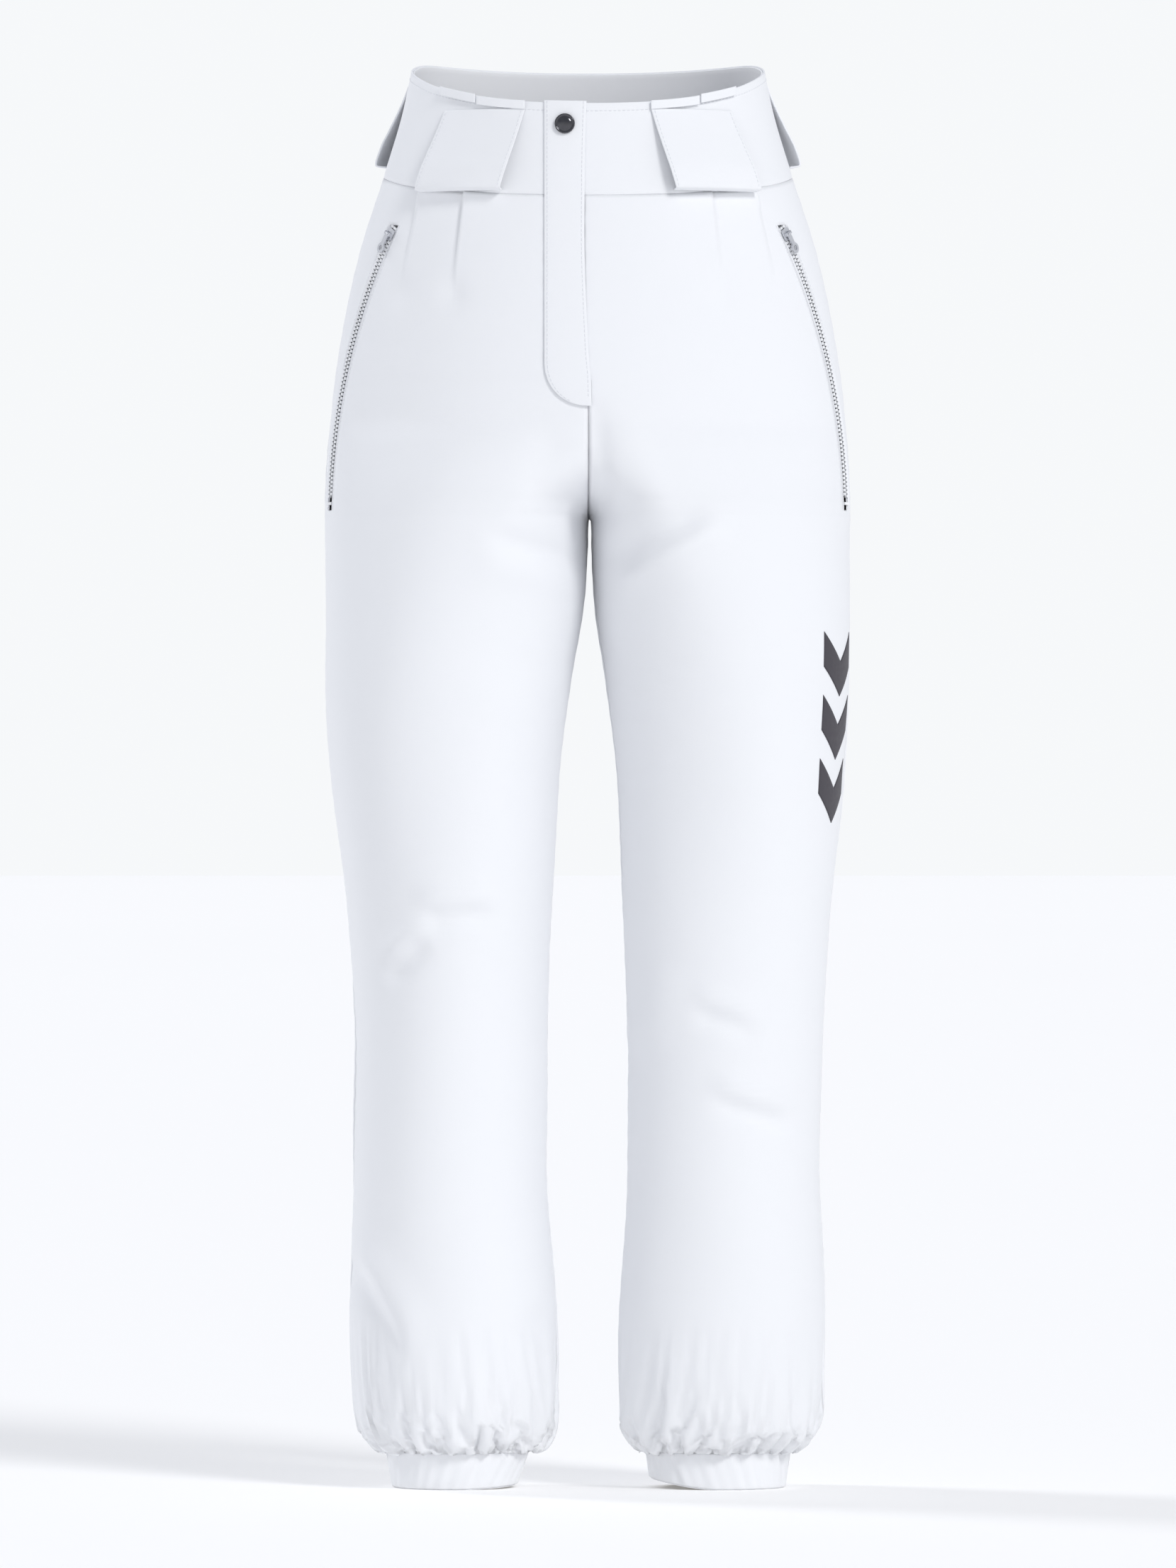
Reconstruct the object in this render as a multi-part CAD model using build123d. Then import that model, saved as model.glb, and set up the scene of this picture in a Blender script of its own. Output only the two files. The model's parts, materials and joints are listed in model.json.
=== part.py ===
from build123d import *
import math
import os

os.makedirs("parts", exist_ok=True)

# Ski pants, stored as if worn. +Z up, front faces -Y, the wearer's left leg is on +X.
# The origin is the centre of the waist opening, level with the front of its top edge.

# ---------------------------------------------------------------- driving dimensions

# Further out than any part of the garment, for cutting shapes.
FAR = 300

CROTCH_Z = -295
LEG_END_Z = -998
HEM_Z = -1026

FABRIC = 1.6
FACING = 1.4
LINING_GAP = 9.0
LINING = 0.6
LINING_END_Z = -973

# Hip sections, from the waist down: height, half width, front, back.
HIP = [
    (45, 129, -92.6, 97),
    (0, 138, -97, 103),
    (-50, 153, -101.8, 110),
    (-107, 171, -107.3, 119),
    (-159, 182.5, -112.4, 126),
    (-212, 190.5, -117.5, 130),
    (-264, 195, -120.5, 130),
    (CROTCH_Z, 196, -121.5, 128),
]

# Where the two legs part: height, inner side, crown. The inner side starts past the middle,
# so the seat seam recedes between the thighs until the legs are separate tubes.
PARTING = [(-230, None, 0), (-250, -130, 25), (-270, -62, 44), (-285, -22, 55), (-296, -5, 62)]

# Leg sections, below the crotch: height, inner side, crown, outer side, front, back.
LEG = [
    (-306, 0.8, 66, 196, -120.8, 125),
    (-330, 1.5, 76, 195.5, -119, 118),
    (-369, 4.5, 92, 195.5, -114, 108),
    (-422, 13, 104, 195.5, -108, 101),
    (-500, 22, 106, 190.5, -100, 95),
    (-605, 27, 103, 179.5, -90, 88),
    (-710, 30, 102, 174, -82, 84),
    (-790, 30, 102, 174, -79, 84),
    (-894, 23, 100, 177.5, -79, 86),
    (-947, 20.5, 99, 177.5, -77, 84),
    (-973, 27, 100, 174, -70, 78),
    (-989, 34, 100, 165, -59, 67),
    (LEG_END_Z, 42, 98, 154, -47, 53),
]

# Waistband edges seen from the side: distance from front to back, height.
TOP_EDGE = [(-100, 0), (-88, 3), (-60, 12.5), (-15, 26.5), (45, 36.5), (104, 33.5)]
SEAM_EDGE = [(-106, -68), (-60, -60), (0, -50), (60, -47), (114, -47)]

CUFF = (44, 97.5, 151, -45, 51)
CUFF_WALL = 1.2
CUFF_ELASTIC = 1.4

# Fly: a placket strip on the wearer's right front, laid over a zipped opening.
FLY_HINGE_X = -32
FLY_FREE_X = -1
FLY_SPLIT_Z = -196
FLY_END_Z = -225
FLY_CORNER_R = 24
FLY_GAP = 0.3
FLY_STRIP = 1.5
FLY_WINDOW = (-29, -4)
UNDERLAP_DEPTH = 9.0
UNDERLAP_X = (-42, 8)
UNDERLAP_Z = (-215, -36)
UNDERLAP_SEAM = 4
FLY_ZIP_X = -16.5
FLY_ZIP_DEPTH = 6.0
FLY_ZIP_TOP_Z = -42
FLY_ZIP_LENGTH = 134
FLY_TAPE_SIDE = 11
FLY_TAPE_SEAM = 3

# The waistband's hidden extension, which carries the snap's stud.
EXTENSION_X = (-27, 12)
EXTENSION_Z = (-32, -2)
EXTENSION_CLOTH = 1.4

SNAP_X = -17
SNAP_Z = -15
SNAP_CAP_R = 7.5
SNAP_POST_R = 1.5
SNAP_SOCKET_R = 5.5
SNAP_BORE_R = 2.3
SNAP_KNOB_R = 1.9
SNAP_STUD_R = 5
SNAP_STUD_RISE = 1.1

# Wide belt loops: place round the waist in degrees from +X towards the back, width, lean.
FRONT_LOOP = (-53.5, 60, 5)
BACK_LOOP = (20, 58, 0)
LOOP_CLOTH = 1.6
# Height, how far the loop stands out from the waistband.
LOOP_PROFILE = [(-2, 0), (-7, 0.2), (-46, 9), (-56, 7.5), (-61, 0.2), (-64, 0)]
BACK_LOOP_RISE = 22
LOOP_MIDDLE_Z = -33
LOOP_CUT = 100

# Pocket zip chain: three places on the hip surface, as side distance and height.
POCKET_ZIP = [(146.5, -94), (179.3, -189.5), (192.3, -292)]
POCKET_ZIP_DEPTH = 0.8
# The place whose surface direction the flat of the chain follows.
POCKET_ZIP_LIE = (157, -122)

# Pocket bag: middle, turn seen from the front, size, and how deep it lies under the cloth.
POCKET_BAG_PLACE = (150, 0, -205)
POCKET_BAG_TURN = -9
POCKET_BAG_SIZE = (90, FAR, 200)
POCKET_BAG_SKIN = (-8.2, -6.8)

# Zip parts.
TOOTH_PITCH = 3.0
TOOTH_LENGTH = 1.9
CHAIN_GAP = 0.5
TOOTH_EDGE = 2.7
TOOTH_HALF = 1.0
TAPE_HALF = 0.3
SEWN = 0.05
SLOT_HALF = 4.9
SLIDER_LENGTH = 9.0
SLIDER_HALF = 4.4
PLATE_GAP = 1.3
PLATE = 1.0
PIN_R = 0.5
PIN_RISE = 3.7
PULL_LENGTH = 16.0
PULL_RING_R = 4.0
PULL_HOLE_R = 2.0

# Print on the outside of the wearer's left thigh: three plain chevrons.
PRINT_TOP_Z = -389
PRINT_WIDTH = 50
PRINT_STROKE = 26
PRINT_RISE = 22
PRINT_PITCH = 47
PRINT_TURN = -26
PRINT_FILM = 0.35


# ---------------------------------------------------------------- shared shapes


def span_box(x, y, z):
    """A box from three (low, high) pairs."""
    size = [high - low for low, high in (x, y, z)]
    middle = [(low + high) / 2 for low, high in (x, y, z)]
    return Pos(*middle) * Box(*size)


def hip_at(z):
    """Half width, half depth and centre of the hip section at a height."""
    for upper, lower in zip(HIP, HIP[1:]):
        if z >= lower[0]:
            share = (upper[0] - z) / (upper[0] - lower[0])
            width, front, back = [a + (b - a) * share for a, b in zip(upper[1:], lower[1:])]
            return width, (back - front) / 2, (back + front) / 2
    width, front, back = HIP[-1][1:]
    return width, (back - front) / 2, (back + front) / 2


def hip_wire(z, offset):
    half_width, half_depth, centre = hip_at(z)
    plane = Plane(origin=(0, centre, z))
    return Wire([Edge.make_ellipse(half_width + offset, half_depth + offset, plane)])


def hip_solid(offset):
    """The hip from crotch to above the waist, grown by offset."""
    return Solid.make_loft([hip_wire(row[0], offset) for row in HIP], ruled=True)


def hip_shell(inner, outer):
    return hip_solid(outer) - hip_solid(inner)


def crown_at(z):
    """Side distance of the front's furthest point: 0 at the hips, and more where the legs part."""
    for (high, _, first), (low, _, second) in zip(PARTING, PARTING[1:]):
        if high >= z >= low:
            return first + (second - first) * (high - z) / (high - low)
    return 0


def hip_point(turn, z):
    """A point of the hip surface, turn radians round from the wearer's left towards the back."""
    half_width, half_depth, centre = hip_at(z)
    crown = crown_at(z)
    across = crown + (half_width - crown) * math.cos(turn)
    return Vector(across, centre + half_depth * math.sin(turn), z)


def hip_frame(side, z, offset=0.0):
    """A point on the front of the hip at a side distance and height, and its outward normal."""
    crown = crown_at(z)
    turn = -math.acos((side - crown) / (hip_at(z)[0] - crown))
    around = hip_point(turn + 0.01, z) - hip_point(turn - 0.01, z)
    upward = hip_point(turn, z + 1) - hip_point(turn, z - 1)
    normal = around.cross(upward).normalized()
    return hip_point(turn, z) + normal * offset, normal


def leg_wire(row, offset):
    z, inner, crown, outer, front, back = row
    half_depth = (back - front) / 2 + offset
    plane = Plane(origin=(crown, (back + front) / 2, z))
    outside = Edge.make_ellipse(outer - crown + offset, half_depth, plane, -90, 90)
    inside = Edge.make_ellipse(crown - inner + offset, half_depth, plane, 90, 270)
    return Wire([outside, inside])


def upper_row(z, inner, crown):
    """A section above the crotch; with no inner side given it is the whole hip."""
    half_width, half_depth, centre = hip_at(z)
    inner = -half_width if inner is None else inner
    return z, inner, crown, half_width, centre - half_depth, centre + half_depth


TROUSER = [upper_row(row[0], None, 0) for row in HIP if row[0] > PARTING[0][0]]
TROUSER += [upper_row(*row) for row in PARTING] + LEG


def leg_solid(offset, rows=TROUSER):
    """The wearer's left leg from above the waist to the cuff, grown by offset."""
    return Solid.make_loft([leg_wire(row, offset) for row in rows], ruled=True)


def side_profile(points, far_z):
    """Everything from a curved edge to far_z, seen from the side and drawn across the hips."""
    (first_y, first_z), (last_y, last_z) = points[0], points[-1]
    curve = Spline(*[(0, y, z) for y, z in points])
    rest = Polyline(
        (0, last_y, last_z),
        (0, FAR, last_z),
        (0, FAR, far_z),
        (0, -FAR, far_z),
        (0, -FAR, first_z),
        (0, first_y, first_z),
    )
    return extrude(make_face(Wire([curve, *rest.edges()])), FAR, both=True)


def as_one(*shapes):
    """Separate solids kept side by side in one node."""
    solids = [solid for shape in shapes for solid in shape.solids()]
    return solids[0] if len(solids) == 1 else Compound(solids)


def mirrored(shape):
    return as_one(mirror(shape, about=Plane.YZ))


def save(name, shape):
    print(name, len(shape.solids()), round(sum(s.volume for s in shape.solids())))
    export_step(as_one(shape), f"parts/{name}.step")


# ---------------------------------------------------------------- waist, panels, lining

above_seam = side_profile(SEAM_EDGE, FAR)
above_top = side_profile(TOP_EDGE, FAR)
left_half = span_box((0, FAR), (-FAR, FAR), (-2000, FAR))
front_half = span_box((-FAR, FAR), (-FAR, 0), (-2000, FAR))
fly_window = span_box(FLY_WINDOW, (-FAR, 0), (FLY_SPLIT_Z, FAR))


def left_trouser(inner, outer, leg_end=LEG_END_Z):
    """Hip and leg of the wearer's left side as one open shell."""
    rows = [row for row in TROUSER if row[0] >= leg_end]
    shell = leg_solid(outer, rows) - leg_solid(inner, rows)
    return (shell & left_half) - above_seam


def circle_through(top, middle, bottom):
    """Centre of the circle through three points, and the axis that turns top towards bottom."""
    first, second = middle - top, bottom - top
    axis = first.cross(second)
    across = axis.cross(first) * second.dot(second) + second.cross(axis) * first.dot(first)
    return top + across / (2 * axis.dot(axis)), axis.normalized()


zip_places = [hip_frame(side, z, -POCKET_ZIP_DEPTH)[0] for side, z in POCKET_ZIP]
zip_top = zip_places[0]
zip_centre, zip_axis = circle_through(*zip_places)
zip_radius = (zip_centre - zip_top).length
zip_turn = math.degrees(2 * math.asin((zip_places[2] - zip_top).length / 2 / zip_radius))
zip_hinge = Axis(zip_centre, zip_axis)


def along_zip(shape, distance):
    """A shape made at the top of the pocket chain, moved down the chain by a distance."""
    return shape.rotate(zip_hinge, math.degrees(distance / zip_radius))


zip_tangent = zip_axis.cross(zip_top - zip_centre).normalized()
surface_normal = hip_frame(*POCKET_ZIP_LIE)[1]
zip_normal = (surface_normal - zip_tangent * surface_normal.dot(zip_tangent)).normalized()
# Local axes of the pocket zip at its top: X across the tape, Y outward, Z down the chain.
zip_plane = Plane(origin=zip_top, x_dir=zip_normal.cross(zip_tangent), z_dir=zip_tangent)
zip_length = zip_radius * math.radians(zip_turn)


def swept(low, high, start, end):
    """A bar with a rectangular section, drawn along the pocket chain."""
    width, depth = high[0] - low[0], high[1] - low[1]
    middle = ((low[0] + high[0]) / 2, (low[1] + high[1]) / 2)
    face = (zip_plane * Pos(*middle, 0) * Rectangle(width, depth)).face()
    turn = math.degrees((end - start) / zip_radius)
    return Solid.revolve(along_zip(face, start), turn, zip_hinge)


pocket_slot = swept((-SLOT_HALF, -14), (SLOT_HALF, 8), -7, zip_length + 3)

outer_left = left_trouser(-FABRIC, 0) - pocket_slot
outer_right = mirrored(outer_left) - fly_window
fly_edge = span_box((FLY_WINDOW[1] - 5, 0), (-FAR, 0), (FLY_SPLIT_Z, FAR))
save("front_panel_left", ((outer_left & front_half) + (outer_right & fly_edge)).clean())
save("front_panel_right", (outer_right & front_half) - fly_edge)
save("back_panel_left", outer_left - front_half)
save("back_panel_right", outer_right - front_half)

band = (hip_shell(-FABRIC, 0) & above_seam) - above_top
facing = (hip_shell(-FABRIC - FACING, -FABRIC) & above_seam) - above_top
front_band = (band & front_half) - fly_window
fly_left = span_box((FLY_WINDOW[1] - 5, FAR), (-FAR, FAR), (-2000, FAR))
save("waistband_left", front_band & fly_left)
save("waistband_right", front_band - fly_left)
save("waistband_back", band - front_half)
save("waistband_facing", facing - fly_window)

lining_left = left_trouser(-LINING_GAP - LINING, -LINING_GAP, LINING_END_Z)
fly_clear = span_box((-46, 12), (-FAR, 0), (FLY_END_Z, FAR))
save("lining_left", lining_left - fly_clear)
save("lining_right", mirrored(lining_left) - fly_clear)


# ---------------------------------------------------------------- belt loops


def belt_loop(turn, width, lean, rise):
    """A wide strip that stands off the waistband, fixed at its top and bottom edges."""
    outside, inside = [], []
    for z, stand_off in LOOP_PROFILE:
        outside.append(hip_wire(z + rise, stand_off + LOOP_CLOTH))
        inside.append(hip_wire(z + rise, stand_off))
    strip = Solid.make_loft(outside, ruled=True) - Solid.make_loft(inside, ruled=True)
    half_width, half_depth, centre = hip_at(LOOP_PROFILE[2][0] + rise)
    angle = math.radians(turn)
    place = (half_width * math.cos(angle), centre + half_depth * math.sin(angle), rise + LOOP_MIDDLE_Z)
    normal = Vector(math.cos(angle) / half_width, math.sin(angle) / half_depth, 0)
    plane = Plane(origin=place, x_dir=(0, 0, 1), z_dir=normal)
    cut = plane * Rot(0, 0, lean) * Box(LOOP_CUT, width, LOOP_CUT)
    return (strip & cut) - hip_solid(0)


for name, place, rise in (("front", FRONT_LOOP, 0), ("back", BACK_LOOP, BACK_LOOP_RISE)):
    loop = belt_loop(*place, rise)
    save(f"belt_loop_{name}_left", loop)
    save(f"belt_loop_{name}_right", mirrored(loop))


# ---------------------------------------------------------------- zip parts


def slider_at(plane):
    """Two plates joined by a web between the rows of teeth, with a pin on top for the pull."""
    body = Box(0.4, 2 * PLATE_GAP, SLIDER_LENGTH - 2)
    for level in (-PLATE_GAP - PLATE / 2, PLATE_GAP + PLATE / 2):
        outline = RectangleRounded(2 * SLIDER_HALF, SLIDER_LENGTH, 2.4)
        body += Pos(0, level, 0) * extrude(Plane.XZ * outline, PLATE / 2, both=True)
    cheek_low = PLATE_GAP + PLATE
    for side in (-2.7, 2.7):
        body += span_box((side - 0.5, side + 0.5), (cheek_low, PIN_RISE + 0.9), (-1.2, 1.2))
    body += Pos(0, PIN_RISE, 0) * Rot(0, 90, 0) * Cylinder(PIN_R, 5.4)
    return plane * body


def pull_at(plane):
    """A flat tab with an eye round the slider's pin and a ring at its free end."""
    eye = Cylinder(1.1, 3.8)
    tab = Pos(0, PIN_RISE, 0) * Rot(0, 90, 0) * eye
    tab += span_box((-1.9, 1.9), (PIN_RISE - 0.5, PIN_RISE + 0.5), (0, PULL_LENGTH - 3.5))
    ring = Cylinder(PULL_RING_R, 1.0)
    tab += Pos(0, PIN_RISE, PULL_LENGTH - PULL_RING_R) * Rot(90, 0, 0) * ring
    hole = Cylinder(PULL_HOLE_R, 2.0)
    tab -= Pos(0, PIN_RISE, PULL_LENGTH - PULL_RING_R) * Rot(90, 0, 0) * hole
    tab -= Pos(0, PIN_RISE, 0) * Rot(0, 90, 0) * Cylinder(PIN_R + 0.05, 6)
    return plane * tab


def stops_at(plane):
    """One small stop on each side of the chain, just above the slider."""
    return [
        plane * span_box((side * 1.6 - 1.1, side * 1.6 + 1.1), (-1.2, 1.2), (-6.5, -4.9))
        for side in (-1, 1)
    ]


def tooth_rows(plane, count):
    """Both rows of teeth as separate blocks, each row half a pitch from the other."""
    teeth = []
    for index in range(count):
        for side, shift in ((-1, 0), (1, TOOTH_PITCH / 2)):
            low, high = sorted((side * CHAIN_GAP, side * TOOTH_EDGE))
            tooth = span_box((low, high), (-TOOTH_HALF, TOOTH_HALF), (0, TOOTH_LENGTH))
            teeth.append((plane * tooth, index * TOOTH_PITCH + shift - 4))
    return teeth


# Pocket zip of the wearer's left side, then its mirror image.
tooth_count = int((zip_length + 2) / TOOTH_PITCH)
pocket_zip = {
    "tape": as_one(
        *[
            swept(low, high, -6.5, zip_length + 2.5)
            for low, high in (
                ((-SLOT_HALF, -TAPE_HALF), (-TOOTH_EDGE - SEWN, TAPE_HALF)),
                ((TOOTH_EDGE + SEWN, -TAPE_HALF), (SLOT_HALF, TAPE_HALF)),
            )
        ]
    ),
    "teeth": as_one(*[along_zip(tooth, at) for tooth, at in tooth_rows(zip_plane, tooth_count)]),
    "top_stops": as_one(*stops_at(zip_plane)),
    "bottom_stop": swept((-TOOTH_EDGE, -1.2), (TOOTH_EDGE, 1.2), zip_length + 0.4, zip_length + 2.4),
    "slider": slider_at(zip_plane),
    "pull": pull_at(zip_plane),
}
for name, piece in pocket_zip.items():
    save(f"pocket_zip_{name}_left", piece)
    save(f"pocket_zip_{name}_right", mirrored(piece))

# The pocket bag lies flat behind the zip, between the outer cloth and the lining.
bag_area = Pos(*POCKET_BAG_PLACE) * Rot(0, POCKET_BAG_TURN, 0) * Box(*POCKET_BAG_SIZE)
bag_shell = leg_solid(POCKET_BAG_SKIN[1], TROUSER[:-6]) - leg_solid(POCKET_BAG_SKIN[0], TROUSER[:-6])
pocket_bag = (bag_shell & bag_area) & front_half & left_half
save("pocket_bag_left", pocket_bag)
save("pocket_bag_right", mirrored(pocket_bag))


# ---------------------------------------------------------------- fly

placket_shell = hip_shell(FLY_GAP, FLY_GAP + FLY_STRIP)
placket_area = span_box((FLY_HINGE_X, FLY_FREE_X), (-FAR, 0), (FLY_SPLIT_Z, FAR))
placket = (placket_shell & placket_area) - above_top

end_outline = FilletPolyline(
    (FLY_HINGE_X, 0, FLY_SPLIT_Z - 0.6),
    (FLY_HINGE_X, 0, FLY_END_Z),
    (FLY_FREE_X + 3, 0, FLY_END_Z),
    radius=FLY_CORNER_R,
)
end_close = Polyline(
    (FLY_FREE_X + 3, 0, FLY_END_Z),
    (FLY_FREE_X + 3, 0, FLY_SPLIT_Z - 0.6),
    (FLY_HINGE_X, 0, FLY_SPLIT_Z - 0.6),
)
end_face = make_face(Wire([*end_outline.edges(), *end_close.edges()]))
end_area = extrude(end_face, FAR, dir=(0, -1, 0))
save("fly_placket_end", hip_shell(0, FLY_STRIP) & end_area)

# The snap: a cap and socket on the placket, a stud on the waistband's hidden extension.
snap_place, snap_normal = hip_frame(SNAP_X, SNAP_Z)
snap_plane = Plane(origin=snap_place, x_dir=(0, 0, 1), z_dir=snap_normal)


def snap_disc(radius, low, high):
    return snap_plane * Pos(0, 0, (low + high) / 2) * Cylinder(radius, high - low)


strip_top = FLY_GAP + FLY_STRIP
dome = snap_disc(SNAP_CAP_R, strip_top - 1, strip_top + 2.6)
dome = fillet(dome.edges().group_by(Axis(snap_place, snap_normal))[-1], 1.6)
post = snap_disc(SNAP_POST_R, -1, strip_top)
placket = placket - post
cap = dome - placket_shell
save("fly_placket", placket)
save("snap_cap", cap)
save("snap_post", snap_disc(SNAP_POST_R, FLY_GAP, strip_top + 0.2) - cap)
socket = snap_disc(SNAP_SOCKET_R, -1.3, FLY_GAP + 0.5) - snap_disc(SNAP_BORE_R, -2, 1)
save("snap_socket", socket - hip_shell(FLY_GAP, FLY_GAP + 3))

facing_depth = FABRIC + FACING
extension_area = span_box(EXTENSION_X, (-FAR, 0), EXTENSION_Z)
extension = (hip_shell(-facing_depth - EXTENSION_CLOTH, -facing_depth) & extension_area) - above_top
save("waistband_extension", extension)
stud = snap_disc(SNAP_STUD_R, -facing_depth - 0.5, -facing_depth + SNAP_STUD_RISE)
stud += snap_disc(SNAP_KNOB_R, -facing_depth, -0.2)
save("snap_stud", stud - extension)

# The underlap behind the zip, with seam allowances out to the panels.
underlap_area = span_box(UNDERLAP_X, (-FAR, 0), UNDERLAP_Z)
underlap = hip_shell(-UNDERLAP_DEPTH - 1, -UNDERLAP_DEPTH) & underlap_area
edges = as_one(
    span_box((UNDERLAP_X[0], UNDERLAP_X[0] + UNDERLAP_SEAM), (-FAR, 0), UNDERLAP_Z),
    span_box((UNDERLAP_X[1] - UNDERLAP_SEAM, UNDERLAP_X[1]), (-FAR, 0), UNDERLAP_Z),
)
underlap = underlap + (hip_shell(-UNDERLAP_DEPTH, -FABRIC) & edges)
underlap = underlap - (facing & span_box((-60, 30), (-FAR, 0), (-100, 0)))
save("fly_underlap", underlap)

# The fly zip runs straight down behind the placket.
fly_top = hip_frame(FLY_ZIP_X, FLY_ZIP_TOP_Z, -FLY_ZIP_DEPTH)[0]
fly_low = hip_frame(FLY_ZIP_X, FLY_SPLIT_Z, -FLY_ZIP_DEPTH)[0]
fly_down = (fly_low - fly_top).normalized()
fly_plane = Plane(origin=fly_top, x_dir=(1, 0, 0), z_dir=fly_down)

fly_teeth = tooth_rows(fly_plane, int(FLY_ZIP_LENGTH / TOOTH_PITCH))
save("fly_zip_teeth", as_one(*[tooth.translate(fly_down * at) for tooth, at in fly_teeth]))
tape = []
for side in (-1, 1):
    low, high = sorted((side * TOOTH_EDGE, side * FLY_TAPE_SIDE))
    web = span_box((low, high), (-TAPE_HALF, TAPE_HALF), (-6.5, FLY_ZIP_LENGTH + 4))
    low, high = sorted((side * (FLY_TAPE_SIDE - FLY_TAPE_SEAM), side * FLY_TAPE_SIDE))
    allowance = span_box((low, high), (-4.5, TAPE_HALF), (-1, FLY_ZIP_LENGTH + 4))
    tape.append((fly_plane * (web + allowance)) - hip_solid(-UNDERLAP_DEPTH))
save("fly_zip_tape", as_one(*tape))
save("fly_zip_top_stops", as_one(*stops_at(fly_plane)))
fly_bottom = (-TOOTH_EDGE, TOOTH_EDGE), (-1.2, 1.2), (FLY_ZIP_LENGTH - 1, FLY_ZIP_LENGTH + 1)
save("fly_zip_bottom_stop", fly_plane * span_box(*fly_bottom))
save("fly_zip_slider", slider_at(fly_plane))
save("fly_zip_pull", pull_at(fly_plane))


# ---------------------------------------------------------------- cuffs


def cuff_ring(outer_offset, inner_offset, low, high):
    inner, crown, outer, front, back = CUFF
    wires = {}
    for offset in (outer_offset, inner_offset):
        rows = [(z, inner, crown, outer, front, back) for z in (high, low)]
        wires[offset] = Solid.make_loft([leg_wire(row, offset) for row in rows], ruled=True)
    return wires[outer_offset] - wires[inner_offset]


fold = -CUFF_WALL - CUFF_ELASTIC
cuff = cuff_ring(0, -CUFF_WALL, HEM_Z, LEG_END_Z)
cuff += cuff_ring(fold, fold - CUFF_WALL, HEM_Z, LEG_END_Z)
cuff += cuff_ring(-CUFF_WALL, fold, HEM_Z, HEM_Z + 2)
elastic = cuff_ring(-CUFF_WALL, fold, HEM_Z + 2, LEG_END_Z - 1)
save("cuff_left", cuff)
save("cuff_right", mirrored(cuff))
save("cuff_elastic_left", elastic)
save("cuff_elastic_right", mirrored(elastic))


# ---------------------------------------------------------------- print


def chevrons():
    half = PRINT_WIDTH / 2
    shapes = []
    for index in range(3):
        top = PRINT_TOP_Z - index * PRINT_PITCH
        outline = Polyline(
            (-half, top),
            (0, top - PRINT_RISE),
            (half, top),
            (half, top - PRINT_STROKE),
            (0, top - PRINT_RISE - PRINT_STROKE),
            (-half, top - PRINT_STROKE),
            (-half, top),
        )
        shapes.append(extrude(make_face(Plane.XZ * outline), FAR, dir=(0, -1, 0)))
    return shapes


film = leg_solid(PRINT_FILM) - leg_solid(0)
turned = Pos(105, 0, 0) * Rot(0, 0, 90 + PRINT_TURN)
save("leg_print", as_one(*[film & (turned * shape) for shape in chevrons()]))


# ---------------------------------------------------------------- joint places for the record

hinge_top, hinge_low = [hip_frame(FLY_HINGE_X - 0.6, z, FLY_GAP + 0.3)[0] for z in (0, FLY_SPLIT_Z)]
print("fly hinge", hinge_top, (hinge_low - hinge_top).normalized())
print("fly zip", fly_top, fly_down, "pull axis", fly_plane.x_dir)
print("pocket zip", zip_centre, zip_axis, "radius", zip_radius, "turn", zip_turn)
print("pocket pull", zip_plane.from_local_coords((0, PIN_RISE, 0)), zip_plane.x_dir)
print("pull ring", zip_plane.from_local_coords((0, PIN_RISE, 12)), zip_plane.y_dir)
print("fly pull", fly_plane.from_local_coords((0, PIN_RISE, 0)), fly_plane.y_dir)
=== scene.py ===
import json
import math

import bmesh
import bpy
import numpy as np
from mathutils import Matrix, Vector
from mathutils.bvhtree import BVHTree


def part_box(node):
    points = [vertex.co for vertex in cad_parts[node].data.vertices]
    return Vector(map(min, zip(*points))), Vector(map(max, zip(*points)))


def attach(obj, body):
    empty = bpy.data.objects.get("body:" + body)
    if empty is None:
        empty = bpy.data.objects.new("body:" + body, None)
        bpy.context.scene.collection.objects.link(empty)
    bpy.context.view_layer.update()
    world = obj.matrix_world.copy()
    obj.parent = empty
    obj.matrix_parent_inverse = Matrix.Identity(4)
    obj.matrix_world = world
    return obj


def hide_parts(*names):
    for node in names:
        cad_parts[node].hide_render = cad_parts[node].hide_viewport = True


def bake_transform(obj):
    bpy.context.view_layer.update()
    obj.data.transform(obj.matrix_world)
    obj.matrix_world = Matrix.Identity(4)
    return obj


# Ski pants: the cloth, seams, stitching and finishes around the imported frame.
# Lengths are millimetres in the shape code and become metres when a mesh is made.
# Shapes are worked out for the wearer's left side (+X) and mirrored for the right.

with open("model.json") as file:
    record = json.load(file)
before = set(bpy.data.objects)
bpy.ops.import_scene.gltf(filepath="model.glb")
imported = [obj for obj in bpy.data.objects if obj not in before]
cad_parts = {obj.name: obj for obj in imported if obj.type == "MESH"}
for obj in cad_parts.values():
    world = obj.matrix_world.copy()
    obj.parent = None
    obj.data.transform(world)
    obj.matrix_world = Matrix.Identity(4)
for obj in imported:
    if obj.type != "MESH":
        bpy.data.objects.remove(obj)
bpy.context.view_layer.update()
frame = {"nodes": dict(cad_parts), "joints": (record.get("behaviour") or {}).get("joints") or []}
MM = 0.001
SIDES = {"left": 1, "right": -1}


def low_high(node):
    """A CAD node's lowest and highest corner, mm."""
    return [np.array(corner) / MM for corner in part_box(node)]


# ---------------------------------------------------------------- driving dimensions

LEG_END_Z = low_high("front_panel_left")[0][2]
HEM_Z = low_high("cuff_left")[0][2]
FLY_SPLIT_Z = low_high("fly_placket")[0][2]
FLY_HINGE_X = low_high("fly_placket")[0][0]
FLY_END_Z = low_high("fly_placket_end")[0][2] + 1
# Side distance at which each front panel and waistband ends at the fly.
FLY_EDGE_X = {"left": -4, "right": 29}
YOKE_Z = -110
CROTCH_Z = -302
PART_HIGH_Z = -293
PART_LOW_Z = -440

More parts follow.
